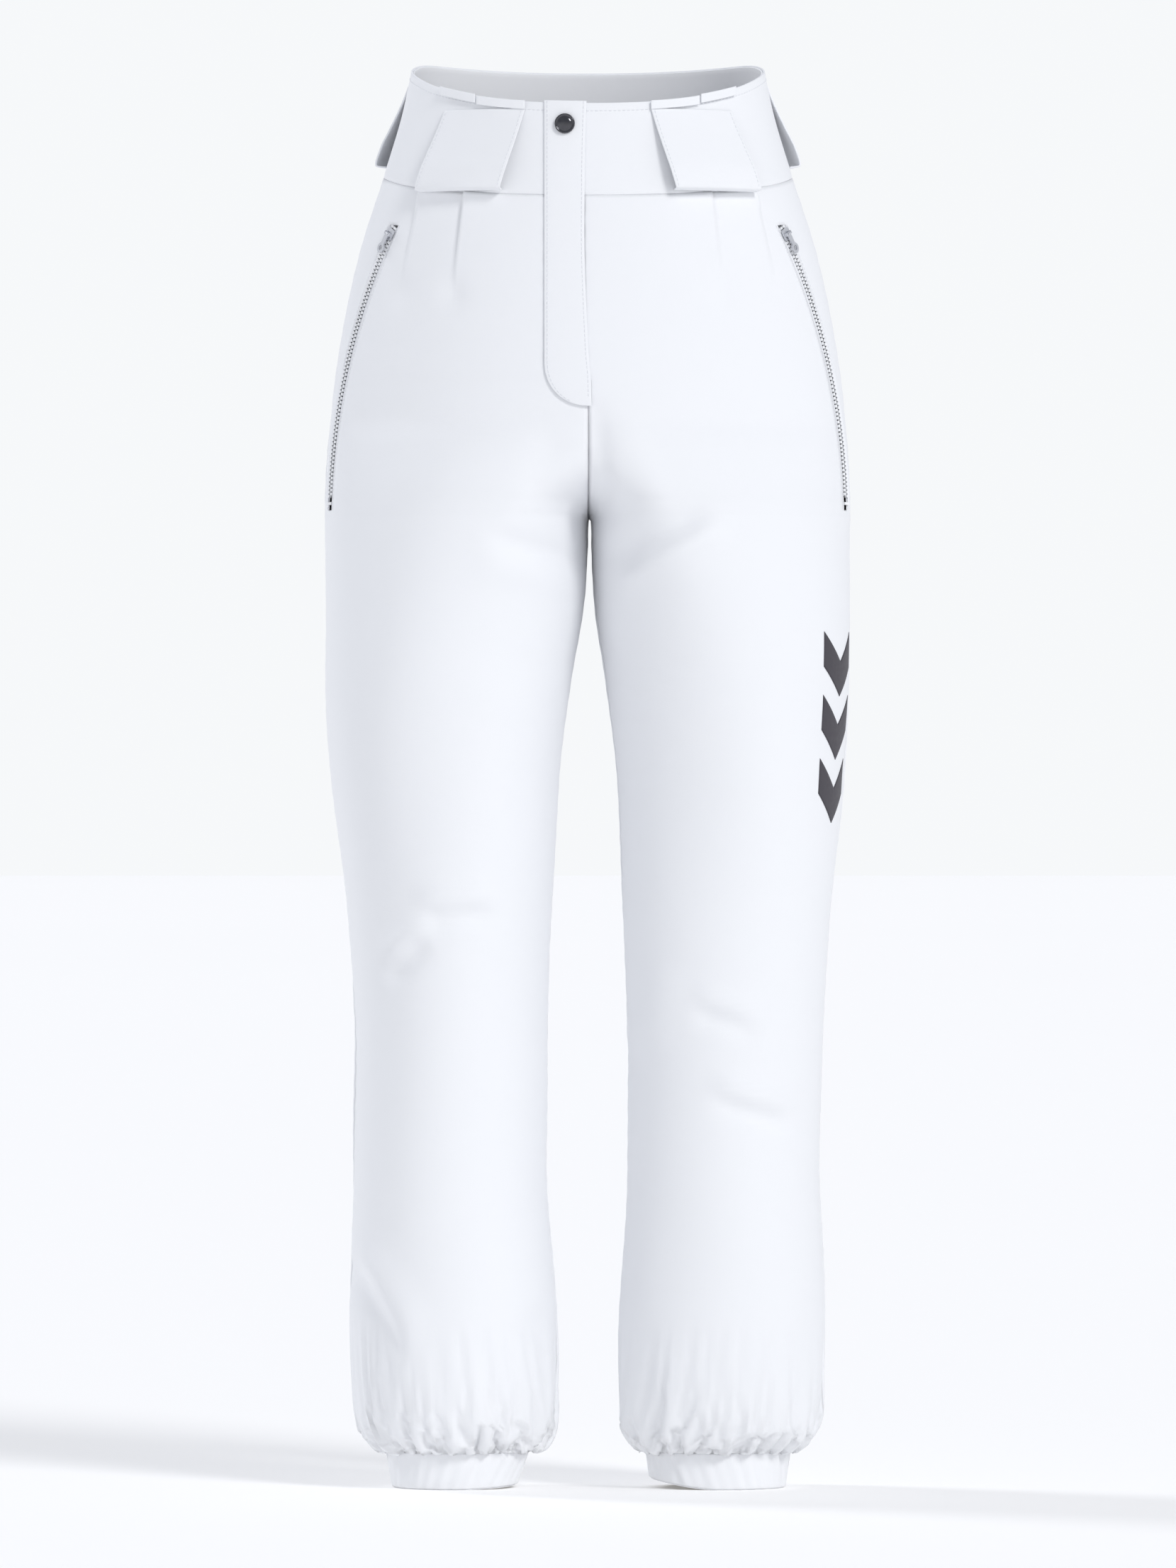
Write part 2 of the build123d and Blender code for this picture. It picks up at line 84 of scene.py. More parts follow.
# Outer cloth: height, inner side, crown, outer side, front, back.
STATIONS = [
    (45, -129, 0, 129, -92.6, 97),
    (0, -138, 0, 138, -97, 103),
    (-50, -153, 0, 153, -101.8, 110),
    (-107, -171, 0, 171, -107.3, 119),
    (-159, -182.5, 0, 182.5, -112.4, 126),
    (-212, -190.5, 0, 190.5, -117.5, 130),
    (-230, -192, 0, 192, -118.5, 130),
    (-250, -130, 25, 194, -119.8, 130),
    (-270, -62, 44, 195.2, -120.6, 129.7),
    (-285, -22, 55, 195.7, -121.1, 128.6),
    (-296, -5, 62, 196, -121.3, 127.5),
    (-306, 0.8, 66, 196, -120.8, 125),
    (-330, 1.5, 76, 195.5, -119, 118),
    (-369, 4.5, 92, 195.5, -114, 108),
    (-422, 13, 104, 195.5, -108, 101),
    (-500, 22, 106, 190.5, -100, 95),
    (-605, 27, 103, 179.5, -90, 88),
    (-710, 30, 102, 174, -82, 84),
    (-790, 30, 102, 174, -79, 84),
    (-894, 23, 100, 177.5, -79, 86),
    (-947, 20.5, 99, 177.5, -77, 84),
    (-973, 27, 100, 174, -70, 78),
    (-989, 34, 100, 165, -59, 67),
    (LEG_END_Z, 42, 98, 154, -47, 53),
]
# Waistband edges seen from the side: distance from front to back, height.
TOP_EDGE = [(-100, 0), (-88, 3), (-60, 12.5), (-15, 26.5), (45, 36.5), (104, 33.5)]
SEAM_EDGE = [(-106, -68), (-60, -60), (0, -50), (60, -47), (114, -47)]

# Sewn tucks on the front and darts on the back: side distance and height at both ends.
OUTER_TUCK = [(124, -57), (139, -132)]
INNER_TUCK = [(92, -61), (100, -134)]
BACK_DART = [(66, -46), (62, -142)]
TUCK_STEP = {"left": 1.0, "right": 1.5}
TUCK_GAP = 0.45

PANEL_CLOTH = 1.1
LINING_GAP = 9.0
ZIP_SLOT_HALF = 4.9
# How far the strip behind a pocket zip lies in, at its top and farther down.
ZIP_GUARD_DEPTH = (3.7, 6.0)
FACING_LIFT = -1.65
FACING_DROP = 0.8

# Cells along a front row: to the slot, the slot, to the outer tuck, the tuck, to the inner
# tuck, the tuck, to the fly. A back row has cells to the dart, the dart, and to the middle.
FRONT_CELLS = (14, 4, 9, 1, 12, 1, 31)
BACK_CELLS = (38, 1, 33)
# The slot's cells are the second stretch of columns.
SLOT_COLUMNS = range(FRONT_CELLS[0], FRONT_CELLS[0] + FRONT_CELLS[1])

# The gathers: where the simulated cloth starts, how much longer it is than the finished leg.
GATHER_TOP_Z = -862
GATHER_SLACK = 1.12
GATHER_FRAMES = 34
HELD_ROWS = 8

# Belt loops: angle round the waist at the top corners, then at the bottom corners, degrees.
FRONT_LOOP = ((-70.5, -40.5), (-66.5, -39.0))
BACK_LOOP = ((6.5, 32.5), (6.5, 32.5))
BACK_LOOP_RISE = 22
# How far a loop stands out, from its top to its foot: height, distance.
LOOP_PROFILE = [
    (-3, 0), (-7, 0.6), (-20, 3.2), (-36, 6.8), (-48, 9.2), (-58, 9.6), (-62, 8.6), (-63.4, 5), (-63.8, 0),
]
LOOP_FOOT = [-60, -61, -62, -62.8, -63.3, -63.6, -63.8]
LOOP_CLOTH = 1.5
# Narrow strips over the tops of the front loops: nearest and farthest side distance, rise.
STRIPS = {"outer": (82.5, 108, 0.9), "inner": (46, 81.5, 0.0)}
STRIP_DEPTH = 6.3

PLACKET_LIFT = 1.9
J_POWER = 2.2
# The underlap behind the fly: left, right, top and low edge.
UNDERLAP = (-42, 8, -36, -215)

BAG_TOP_Z = -108
BAG_DEPTH = 186
BAG_OUTER_X = 186
BAG_INNER_X = 104
BAG_CORNER = 14
BAG_GAP = 7.4

# Cuff ring: inner side, crown, outer side, front, back at its top, and at its bottom.
CUFFS = {
    "left": ((43, 97.5, 151, -45, 51), (46, 97.5, 147.5, -43.5, 49.5)),
    "right": ((43, 97.5, 151, -45, 51), (53, 98, 146, -42, 48)),
}
CUFF_LIFT = {"left": 7, "right": 2}

# Print on the wearer's left thigh: three plain chevrons.
PRINT_TOP_Z = -389
PRINT_WIDTH = 50
PRINT_STROKE = 26
PRINT_RISE = 22
PRINT_PITCH = 47
PRINT_TURN = -26
PRINT_AXIS = (105, -6)
PRINT_LIFT = 0.35

THREAD_RADIUS = 0.28
STITCH_LENGTH = 2.6
STITCH_GAP = 0.8


# ---------------------------------------------------------------- sections of the garment

TABLE = np.array(sorted(STATIONS))


def slopes(x, y):
    """Slopes for a smooth curve through points that never overshoots them."""
    secant = np.diff(y) / np.diff(x)
    slope = np.zeros(len(x))
    slope[0], slope[-1] = secant[0], secant[-1]
    for i in range(1, len(x) - 1):
        if secant[i - 1] * secant[i] > 0:
            slope[i] = 2 * secant[i - 1] * secant[i] / (secant[i - 1] + secant[i])
    return slope


def curve(points, at):
    """A smooth curve through (x, y) points, read at x."""
    x, y = np.array(points, float).T
    slope = slopes(x, y)
    at = np.clip(at, x[0], x[-1])
    i = np.clip(np.searchsorted(x, at) - 1, 0, len(x) - 2)
    step = x[i + 1] - x[i]
    t = (at - x[i]) / step
    start = (1 + 2 * t) * (1 - t) ** 2 * y[i] + t * (1 - t) ** 2 * step * slope[i]
    return start + t**2 * (3 - 2 * t) * y[i + 1] + t**2 * (t - 1) * step * slope[i + 1]


def running(points, axis=0):
    """Distance along one direction of a line or grid of points, from its first point."""
    steps = np.linalg.norm(np.diff(points, axis=axis), axis=-1)
    return np.cumsum(np.insert(steps, 0, 0, axis=axis), axis=axis)


def ease(x):
    x = np.clip(x, 0, 1)
    return x * x * (3 - 2 * x)


def section(z):
    """Inner side, crown, outer side, mid depth and half depth at a height."""
    z = np.asarray(z, float)
    inner, crown, outer, front, back = [
        curve(TABLE[:, [0, k]], z) for k in range(1, 6)
    ]
    return inner, crown, outer, (front + back) / 2, (back - front) / 2


def outline(turn, z, face):
    """A point of a section: turn runs from the outer side over the crown to the inner side."""
    inner, crown, outer, middle, depth = section(z)
    reach = np.where(np.cos(turn) > 0, outer - crown, crown - inner)
    x = crown + reach * np.cos(turn)
    y = middle - face * depth * np.sin(turn)
    return np.stack([x, y, np.broadcast_to(z, x.shape)], -1)


def turn_at(x, z):
    inner, crown, outer, _, _ = section(z)
    reach = np.where(x > crown, outer - crown, np.maximum(crown - inner, 1e-6))
    return np.arccos(np.clip((x - crown) / reach, -1, 1))


def arc_table(z, end_x, face):
    """Turns along one face and the arc length to each, from the side seam to end_x."""
    inner = float(section(z)[0])
    last = math.pi if inner >= end_x else float(turn_at(end_x, z))
    turns = np.linspace(0, last, 241)
    return turns, running(outline(turns, z, face))


def zip_line():
    """Side distance and height along the pocket zip, from its joint's arc."""
    joint = next(j for j in frame["joints"] if j["name"] == "pocket_zip_travel_left")
    centre = np.array(joint["pos_m"]) / MM
    axis = np.array(joint["axis"])
    top = sum(low_high("pocket_zip_slider_left")) / 2
    arm = top - centre
    places = []
    for angle in np.radians(np.linspace(-0.6, joint["range_deg"][1] + 0.9, 14)):
        turned = arm * math.cos(angle) + np.cross(axis, arm) * math.sin(angle)
        turned += axis * (axis @ arm) * (1 - math.cos(angle))
        places.append(centre + turned)
    return np.array(places)


ZIP_PLACES = zip_line()
ZIP_LINE = [(p[0], p[2]) for p in ZIP_PLACES]
ZIP_TOP_Z = low_high("pocket_zip_tape_left")[1][2] - 1
ZIP_LOW_Z = low_high("pocket_zip_tape_left")[0][2] - 4


def fly_end(z, side):
    """Side distance where a front panel ends at the fly: past the window edge above its foot."""
    return FLY_EDGE_X[side] * ease((z - FLY_SPLIT_Z + 10) / 10)


def line_share(line, z, end_x, face):
    """Share of the arc from the side seam at which a line lies, held beyond the line's ends."""
    heights = [p[1] for p in line][::-1]
    sides = [p[0] for p in line][::-1]
    at = float(np.clip(z, heights[0], heights[-1]))
    turns, arc = arc_table(at, end_x, face)
    turn = float(turn_at(np.interp(at, heights, sides), at))
    return np.interp(turn, turns, arc) / arc[-1], arc[-1]


def column_shares(z, end_x, face, with_lines=True):
    """Where a row's columns lie, as shares of its arc: they follow the zip, tucks and darts."""
    if not with_lines:
        return np.linspace(0, 1, sum(FRONT_CELLS) + 1)
    if face > 0:
        zip_at, length = line_share(ZIP_LINE, z, end_x, face)
        outer_at = line_share(OUTER_TUCK, z, end_x, face)[0]
        inner_at = line_share(INNER_TUCK, z, end_x, face)[0]
        slot, gap = ZIP_SLOT_HALF / length, TUCK_GAP / length
        outer_at = max(outer_at, zip_at + slot + 4 * gap)
        marks = [0, zip_at - slot, zip_at + slot, outer_at - gap, outer_at + gap]
        marks += [inner_at - gap, inner_at + gap, 1]
        cells = FRONT_CELLS
    else:
        dart_at, length = line_share(BACK_DART, z, end_x, face)
        gap = TUCK_GAP / length
        marks, cells = [0, dart_at - gap, dart_at + gap, 1], BACK_CELLS
    parts = [np.linspace(a, b, n + 1)[:-1] for a, b, n in zip(marks, marks[1:], cells)]
    shares = np.concatenate([*parts, [1.0]])
    even = np.linspace(0, 1, len(shares))
    return shares + (even - shares) * ease((-300 - z) / 150)


def row_heights():
    """Heights of the level rows, closer together at the crotch and in the gathers."""
    spans = [(YOKE_Z, -246, 4), (-246, -310, 1.5), (-310, -334, 3), (-334, GATHER_TOP_Z, 4.5)]
    parts = [np.arange(a, b, -step) for a, b, step in spans]
    return np.concatenate([*parts, np.linspace(GATHER_TOP_Z, LEG_END_Z, 49)])


YOKE_ROWS = 16
LEVEL_Z = row_heights()
GATHER_ROW = YOKE_ROWS + int(np.argmin(abs(LEVEL_Z - GATHER_TOP_Z)))


def row_on(z, face, end_x, shares):
    """Turns of a row's columns. Where the legs part, the last columns take up the longer arc."""
    turns, arc = arc_table(z, end_x, face)
    even = arc[-1]
    if PART_LOW_Z < z < PART_HIGH_Z:
        share = (PART_HIGH_Z - z) / (PART_HIGH_Z - PART_LOW_Z)
        high = arc_table(PART_HIGH_Z, end_x, face)[1][-1]
        low = arc_table(PART_LOW_Z, end_x, face)[1][-1]
        even = min(even, high + (low - high) * share)
    return np.interp(shares * even + (arc[-1] - even) * shares**8, arc, turns)


def panel_grid(side, face, end_of, with_lines=True):
    """Rows of points from the waistband seam to the cuff, columns from the side seam inward."""
    rows = []
    for step in range(YOKE_ROWS):
        share = step / YOKE_ROWS
        front_z = SEAM_EDGE[0][1] if face > 0 else SEAM_EDGE[-1][1]
        z_mark = front_z + (YOKE_Z - front_z) * share
        end_x = end_of(z_mark, side)
        turns = row_on(z_mark, face, end_x, column_shares(z_mark, end_x, face, with_lines))
        z = np.full(len(turns), z_mark)
        for _ in range(6):
            seam = curve(SEAM_EDGE, outline(turns, z, face)[:, 1])
            z = seam + (YOKE_Z - seam) * share
        rows.append(outline(turns, z, face))
    for z in LEVEL_Z:
        end_x = end_of(z, side)
        turns = row_on(z, face, end_x, column_shares(z, end_x, face, with_lines))
        rows.append(outline(turns, np.full(len(turns), z), face))
    return np.array(rows)


def normals_of(grid):
    """Outward unit normals of a grid of points on the wearer's left side."""
    across, down = np.gradient(grid, axis=1), np.gradient(grid, axis=0)
    normal = np.cross(across, down)
    normal /= np.linalg.norm(normal, axis=2, keepdims=True) + 1e-12
    middle = np.stack([section(grid[:, :, 2])[1], section(grid[:, :, 2])[3]], -1)
    outward = np.sum((grid[:, :, :2] - middle) * normal[:, :, :2])
    return normal if outward > 0 else -normal


# ---------------------------------------------------------------- folds of the cloth


def ridge(x, z, start, end, width, height):
    """A soft ridge, or a crease if height is below 0, along a line, fading at its ends."""
    start, end = np.array(start, float), np.array(end, float)
    along = end - start
    length = np.linalg.norm(along)
    along /= length
    t = (x - start[0]) * along[0] + (z - start[1]) * along[1]
    off = (x - start[0]) * along[1] - (z - start[1]) * along[0]
    fade = ease(t / length * 2.4 + 0.4) * ease((length - t) / length * 2.4 + 0.4)
    return height * np.exp(-((off / width) ** 2)) * fade


def dimple(x, z, at, size, depth):
    return -depth * np.exp(-(((x - at[0]) / size[0]) ** 2) - ((z - at[1]) / size[1]) ** 2)


def tuck(x, z, line, height):
    """The cloth nearer the middle laps over the cloth nearer the side, less and less downward."""
    (top_x, top_z), (low_x, low_z) = line
    off = x - (top_x + (low_x - top_x) * (z - top_z) / (low_z - top_z))
    fade = np.clip((z - low_z) / (top_z - low_z), 0, 1) ** 0.8
    near = np.where(off < 0, np.exp(np.minimum(off, 0) / 16), -0.9 * np.exp(-np.maximum(off, 0) / 10))
    return height * fade * near + dimple(x, z, (low_x, low_z - 5), (9, 12), 1.3 * height)


# Soft folds per side and face: start, end, width, height, each place as side and height.
FOLDS = {
    ("left", 1): [
        ((98, -310), (28, -352), 10, 6.0),
        ((84, -300), (16, -338), 12, -4.2),
        ((5, -222), (12, -306), 9, -3.6),
        ((24, -236), (52, -292), 13, 1.8),
        ((80, -672), (124, -686), 8, -3.6),
        ((80, -658), (124, -672), 9, 2.4),
        ((94, -723), (150, -740), 9, 4.2),
        ((94, -738), (150, -755), 8, -3.4),
        ((60, -640), (40, -700), 16, 2.0),
        ((150, -420), (120, -520), 30, 1.6),
        ((150, -900), (172, -940), 9, -2.6),
        ((40, -905), (30, -955), 10, -2.4),
    ],
    ("right", 1): [
        ((70, -322), (10, -336), 10, -3.4),
        ((80, -338), (6, -356), 15, 1.8),
        ((24, -244), (40, -292), 14, -2.0),
        ((70, -598), (126, -602), 8, -4.0),
        ((70, -584), (126, -588), 11, 3.0),
        ((120, -620), (150, -646), 8, -3.8),
        ((116, -604), (152, -628), 9, 3.0),
        ((60, -420), (90, -540), 30, 1.6),
        ((176, -858), (136, -925), 8, -4.4),
        ((164, -850), (124, -905), 12, 3.6),
        ((40, -890), (28, -945), 9, -2.6),
    ],
    ("left", -1): [
        ((24, -262), (150, -326), 15, 4.6),
        ((30, -290), (130, -350), 11, -4.0),
        ((60, -330), (160, -372), 16, 2.6),
        ((40, -638), (165, -610), 10, -4.2),
        ((44, -662), (168, -640), 12, 4.6),
        ((50, -690), (160, -676), 10, -3.6),
        ((56, -716), (150, -708), 13, 2.8),
        ((120, -420), (100, -540), 26, 2.4),
        ((150, -870), (90, -930), 11, -3.2),
        ((160, -850), (100, -905), 13, 2.6),
    ],
    ("right", -1): [
        ((24, -270), (150, -320), 14, 4.4),
        ((32, -300), (120, -354), 11, -4.0),
        ((70, -340), (165, -366), 15, 2.4),
        ((44, -616), (168, -636), 10, -4.2),
        ((40, -640), (165, -662), 12, 4.4),
        ((52, -672), (150, -690), 10, -3.4),
        ((70, -700), (160, -712), 13, 2.6),
        ((70, -430), (110, -560), 26, 2.2),
        ((60, -875), (130, -935), 11, -3.2),
    ],
}
# Slow waves of the hanging cloth: how many per metre across and down, phase, height.
WAVES = [(5.1, 1.7, 0.4, 0.9), (8.3, 2.9, 2.1, 0.5), (3.2, 6.1, 4.0, 0.4)]


def drape(side, face, grid):
    """How far the cloth stands out from its plain shape, mm."""
    x, z = grid[:, :, 0], grid[:, :, 2]
    out = np.zeros(x.shape)
    for start, end, width, height in FOLDS[(side, face)]:
        out += ridge(x, z, start, end, width, height)
    phase_shift = 1.3 * SIDES[side] + 0.7 * face
    loose = ease((-140 - z) / 160)
    for across, down, phase, height in WAVES:
        angle = 2 * math.pi * (across * x + down * z) * MM + phase + phase_shift
        out += height * loose * np.sin(angle)
    if face > 0:
        out += tuck(x, z, OUTER_TUCK, TUCK_STEP[side])
        out += tuck(x, z, INNER_TUCK, TUCK_STEP[side])
        out *= 1 - 0.85 * near_zip(x, z)
    else:
        out += tuck(x, z, BACK_DART, 0.8)
    return out + seam_dip(grid)


def near_zip(x, z):
    """1 on the pocket zip, falling to 0 beside it, so that the cloth stays level with the tape."""
    heights = [p[1] for p in ZIP_LINE][::-1]
    sides = [p[0] for p in ZIP_LINE][::-1]
    off = abs(x - np.interp(z, heights, sides))
    return np.exp(-((off / 14) ** 2)) * ease((z - ZIP_LOW_Z + 20) / 20) * ease((ZIP_TOP_Z + 20 - z) / 20)


def seam_dip(grid):
    """The cloth pulls in and puckers a little along every seam."""
    arc, drop = running(grid, 1), running(grid)
    edge = np.minimum(arc, arc[:, -1:] - arc)
    pucker = 0.22 * np.sin(grid[:, :, 2] / 2.9) * np.exp(-edge / 7)
    return -0.55 * np.exp(-edge / 2.8) - 0.35 * np.exp(-drop / 2.2) + pucker


# ---------------------------------------------------------------- gathers at the cuffs


def cuff_point(side, share, top=True):
    """A point of the cuff ring, share of a turn from the outer side over the front."""
    inner, crown, outer, front, back = CUFFS[side][0 if top else 1]
    turn = 2 * math.pi * share
    reach = np.where(np.cos(turn) > 0, outer - crown, crown - inner)
    y = (front + back) / 2 - (back - front) / 2 * np.sin(turn)
    return crown + reach * np.cos(turn), y


def tube_of(front, back):
    """The lower rows of a front and a back panel as one closed tube of points."""
    return np.concatenate([front, back[:, -2:0:-1]], axis=1)


def loose_tube(tube):
    """The tube before gathering: as wide as the leg above it, and longer than the finished leg."""
    start, rows = tube[0].copy(), len(tube)
    loose = np.repeat(start[None], rows, axis=0)
    level = int(rows * 0.5)
    loose[:level] = tube[:level]
    loose[level:, :, :2] = tube[level, :, :2]
    loose[:, :, 2] = start[:, 2] + (tube[:, :, 2] - start[:, 2]) * GATHER_SLACK
    return loose


def ring_shares(ring):
    steps = np.linalg.norm(np.diff(ring, axis=0, append=ring[:1]), axis=1)
    return np.concatenate([[0], np.cumsum(steps)[:-1]]) / steps.sum()


def sewn_ring(side, tube):
    """Where the tube's last row is sewn to the cuff."""
    x, y = cuff_point(side, ring_shares(tube[-1]))
    return np.stack([x, y, np.full(len(x), LEG_END_Z - 1.5)], -1)


def ring_faces(rows, count):
    return [
        (r * count + c, r * count + (c + 1) % count, (r + 1) * count + (c + 1) % count, (r + 1) * count + c)
        for r in range(rows - 1)
        for c in range(count)
    ]


def plain_mesh(name, points, faces):
    mesh = bpy.data.meshes.new(name)
    mesh.from_pydata([tuple(p) for p in np.asarray(points) * MM], [], faces)
    mesh.update()
    obj = bpy.data.objects.new(name, mesh)
    bpy.context.scene.collection.objects.link(obj)
    return obj


def leg_form(side, tube):
    """A solid form inside the leg, so that the gathers rest on something."""
    centre = tube.mean(axis=1, keepdims=True) * np.ones_like(tube)
    centre[:, :, 2] = tube[:, :, 2]
    upper = centre + (tube - centre) * 0.93
    ring = sewn_ring(side, tube)
    middle = ring.mean(axis=0)
    rows = list(upper[:-4])
    for z, scale in ((LEG_END_Z + 1, 0.93), (LEG_END_Z - 3, 0.985), (HEM_Z - 4, 0.985)):
        lower = middle + (ring - middle) * scale
        lower[:, 2] = z
        rows.append(lower)
    form = plain_mesh("leg_form", np.concatenate(rows), ring_faces(len(rows), len(ring)))
    form.modifiers.new("collision", "COLLISION")
    form.collision.thickness_outer = 0.001
    form.collision.cloth_friction = 8
    return form


def gathered(side, tube):
    """Cloth simulation: the loose tube's end is drawn in to the cuff, and the cloth buckles."""
    loose, ring = loose_tube(tube), sewn_ring(side, tube)
    rows, count = loose.shape[:2]
    chance = np.random.default_rng(11 if side == "left" else 23)
    share = ring_shares(tube[-1])
    ripple = sum(
        chance.uniform(0.3, 0.8) * np.sin(2 * math.pi * (k * share + chance.uniform()))
        for k in range(7, 34, 3)
    )
    level = ease((np.arange(rows) / rows - 0.55) / 0.4)[:, None]
    outward = loose - loose.mean(axis=1, keepdims=True)
    outward[:, :, 2] = 0
    outward /= np.linalg.norm(outward, axis=2, keepdims=True)
    start = loose + outward * (level * ripple)[:, :, None]
    cloth = plain_mesh("gather", start.reshape(-1, 3), ring_faces(rows, count))
    held = cloth.vertex_groups.new(name="held")
    weights = 1 - ease((np.arange(rows) - HELD_ROWS) / 8)
    weights[-1] = 1
    for r in range(rows):
        if weights[r] > 0:
            held.add(range(r * count, (r + 1) * count), float(weights[r]), "REPLACE")
    cloth.shape_key_add(name="loose")
    drawn = cloth.shape_key_add(name="drawn_in")
    target = start.copy()
    target[-1] = ring
    drawn.data.foreach_set("co", (target * MM).astype(np.float32).ravel())
    drawn.value = 0
    drawn.keyframe_insert("value", frame=1)
    drawn.value = 1
    drawn.keyframe_insert("value", frame=GATHER_FRAMES - 12)
    form = leg_form(side, tube)
    modifier = cloth.modifiers.new("cloth", "CLOTH")
    settings = modifier.settings
    settings.quality = 6
    settings.mass = 0.12
    settings.tension_stiffness = settings.compression_stiffness = 20
    settings.shear_stiffness = 8
    settings.bending_stiffness = 0.15
    settings.vertex_group_mass = "held"
    settings.pin_stiffness = 1
    modifier.collision_settings.distance_min = 0.0012
    modifier.collision_settings.collision_quality = 2
    modifier.collision_settings.use_self_collision = True
    modifier.collision_settings.self_distance_min = 0.0012
    modifier.point_cache.frame_end = GATHER_FRAMES
    scene = bpy.context.scene
    for step in range(1, GATHER_FRAMES + 1):
        scene.frame_set(step)
    ready = cloth.evaluated_get(bpy.context.evaluated_depsgraph_get())
    moved = np.array([v.co for v in ready.data.vertices]) / MM
    scene.frame_set(1)
    for obj in (cloth, form):
        bpy.data.objects.remove(obj)
    return moved.reshape(rows, count, 3)


# ---------------------------------------------------------------- meshes


def mirrored(points, side):
    return points * np.array([SIDES[side], 1, 1])


def grid_faces(rows, columns, skip=()):
    return [
        (r * columns + c, r * columns + c + 1, (r + 1) * columns + c + 1, (r + 1) * columns + c)
        for r in range(rows - 1)
        for c in range(columns - 1)
        if (r, c) not in skip
    ]


def weave_of(grid):
    """Distances along the rows and down the columns, metres: the cloth's own directions."""
    across = running(grid, 1)
    across -= across.mean(axis=1, keepdims=True)
    down = np.linalg.norm(np.diff(grid, axis=0), axis=2).mean(axis=1)
    drop = np.concatenate([[0], np.cumsum(down)])[:, None] * np.ones((1, grid.shape[1]))
    return np.stack([across, drop, np.zeros_like(across)], -1) * MM


def cloth_piece(name, grid, outward, material, nodes=(), skip=(), closed=False,
                thickness=PANEL_CLOTH, rounded=0.0, body="root"):
    """A piece of cloth from a grid of points, with its thickness laid inward."""
    rows, columns = grid.shape[:2]
    faces = ring_faces(rows, columns) if closed else grid_faces(rows, columns, skip)
    obj = plain_mesh(name, grid.reshape(-1, 3), faces)
    mesh = obj.data
    weave = mesh.attributes.new("weave", "FLOAT_VECTOR", "POINT")
    weave.data.foreach_set("vector", weave_of(grid).astype(np.float32).ravel())
    normal = np.array([p.normal for p in mesh.polygons])
    middle = np.array([p.center for p in mesh.polygons])
    if np.sum((middle - np.array(outward) * MM) * normal * (1, 1, 0)) < 0:
        mesh.flip_normals()
    drop_loose(mesh)
    mesh.polygons.foreach_set("use_smooth", [True] * len(mesh.polygons))
    shell = obj.modifiers.new("thickness", "SOLIDIFY")
    shell.thickness = thickness * MM
    shell.offset = -1
    if rounded:
        soften(obj, rounded)
    mesh.materials.append(material)
    if nodes:
        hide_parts(*nodes)
    if body:
        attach(obj, body)
    return obj


def drop_loose(mesh):
    """Removes points that no face uses, such as those inside a slot."""
    used = {v for p in mesh.polygons for v in p.vertices}
    if len(used) == len(mesh.vertices):
        return
    work = bmesh.new()
    work.from_mesh(mesh)
    loose = [v for v in work.verts if not v.link_faces]
    bmesh.ops.delete(work, geom=loose, context="VERTS")
    work.to_mesh(mesh)
    work.free()


def soften(obj, width, segments=2):
    bevel = obj.modifiers.new("soft_edges", "BEVEL")
    bevel.width = width * MM
    bevel.segments = segments
    bevel.limit_method = "ANGLE"
    bevel.angle_limit = math.radians(50)


# ---------------------------------------------------------------- materials


class Nodes:
    """A short way to write a material's nodes."""

    def __init__(self, name):
        self.material = bpy.data.materials.new(name)
        self.material.use_nodes = True
        self.tree = self.material.node_tree
        self.shader = self.tree.nodes["Principled BSDF"]

    def add(self, kind, inputs=(), **settings):
        node = self.tree.nodes.new("ShaderNode" + kind)
        for key, value in settings.items():
            setattr(node, key, value)
        for key, value in dict(inputs).items():
            if isinstance(value, bpy.types.NodeSocket):
                self.tree.links.new(value, node.inputs[key])
            else:
                node.inputs[key].default_value = value
        return node

    def shade(self, **inputs):
        for key, value in inputs.items():
            socket = self.shader.inputs[key.replace("_", " ")]
            if isinstance(value, bpy.types.NodeSocket):
                self.tree.links.new(value, socket)
            else:
                socket.default_value = value
        return self.material


def mixed(nodes, factor, first, second):
    blend = nodes.add("Mix", data_type="RGBA")
    nodes.tree.links.new(factor, blend.inputs[0])
    blend.inputs[6].default_value = (*first, 1)
    blend.inputs[7].default_value = (*second, 1)
    return blend.outputs[2]


def ranged(nodes, value, low, high):
    node = nodes.add("MapRange", {"Value": value, "To Min": low, "To Max": high})
    return node.outputs["Result"]


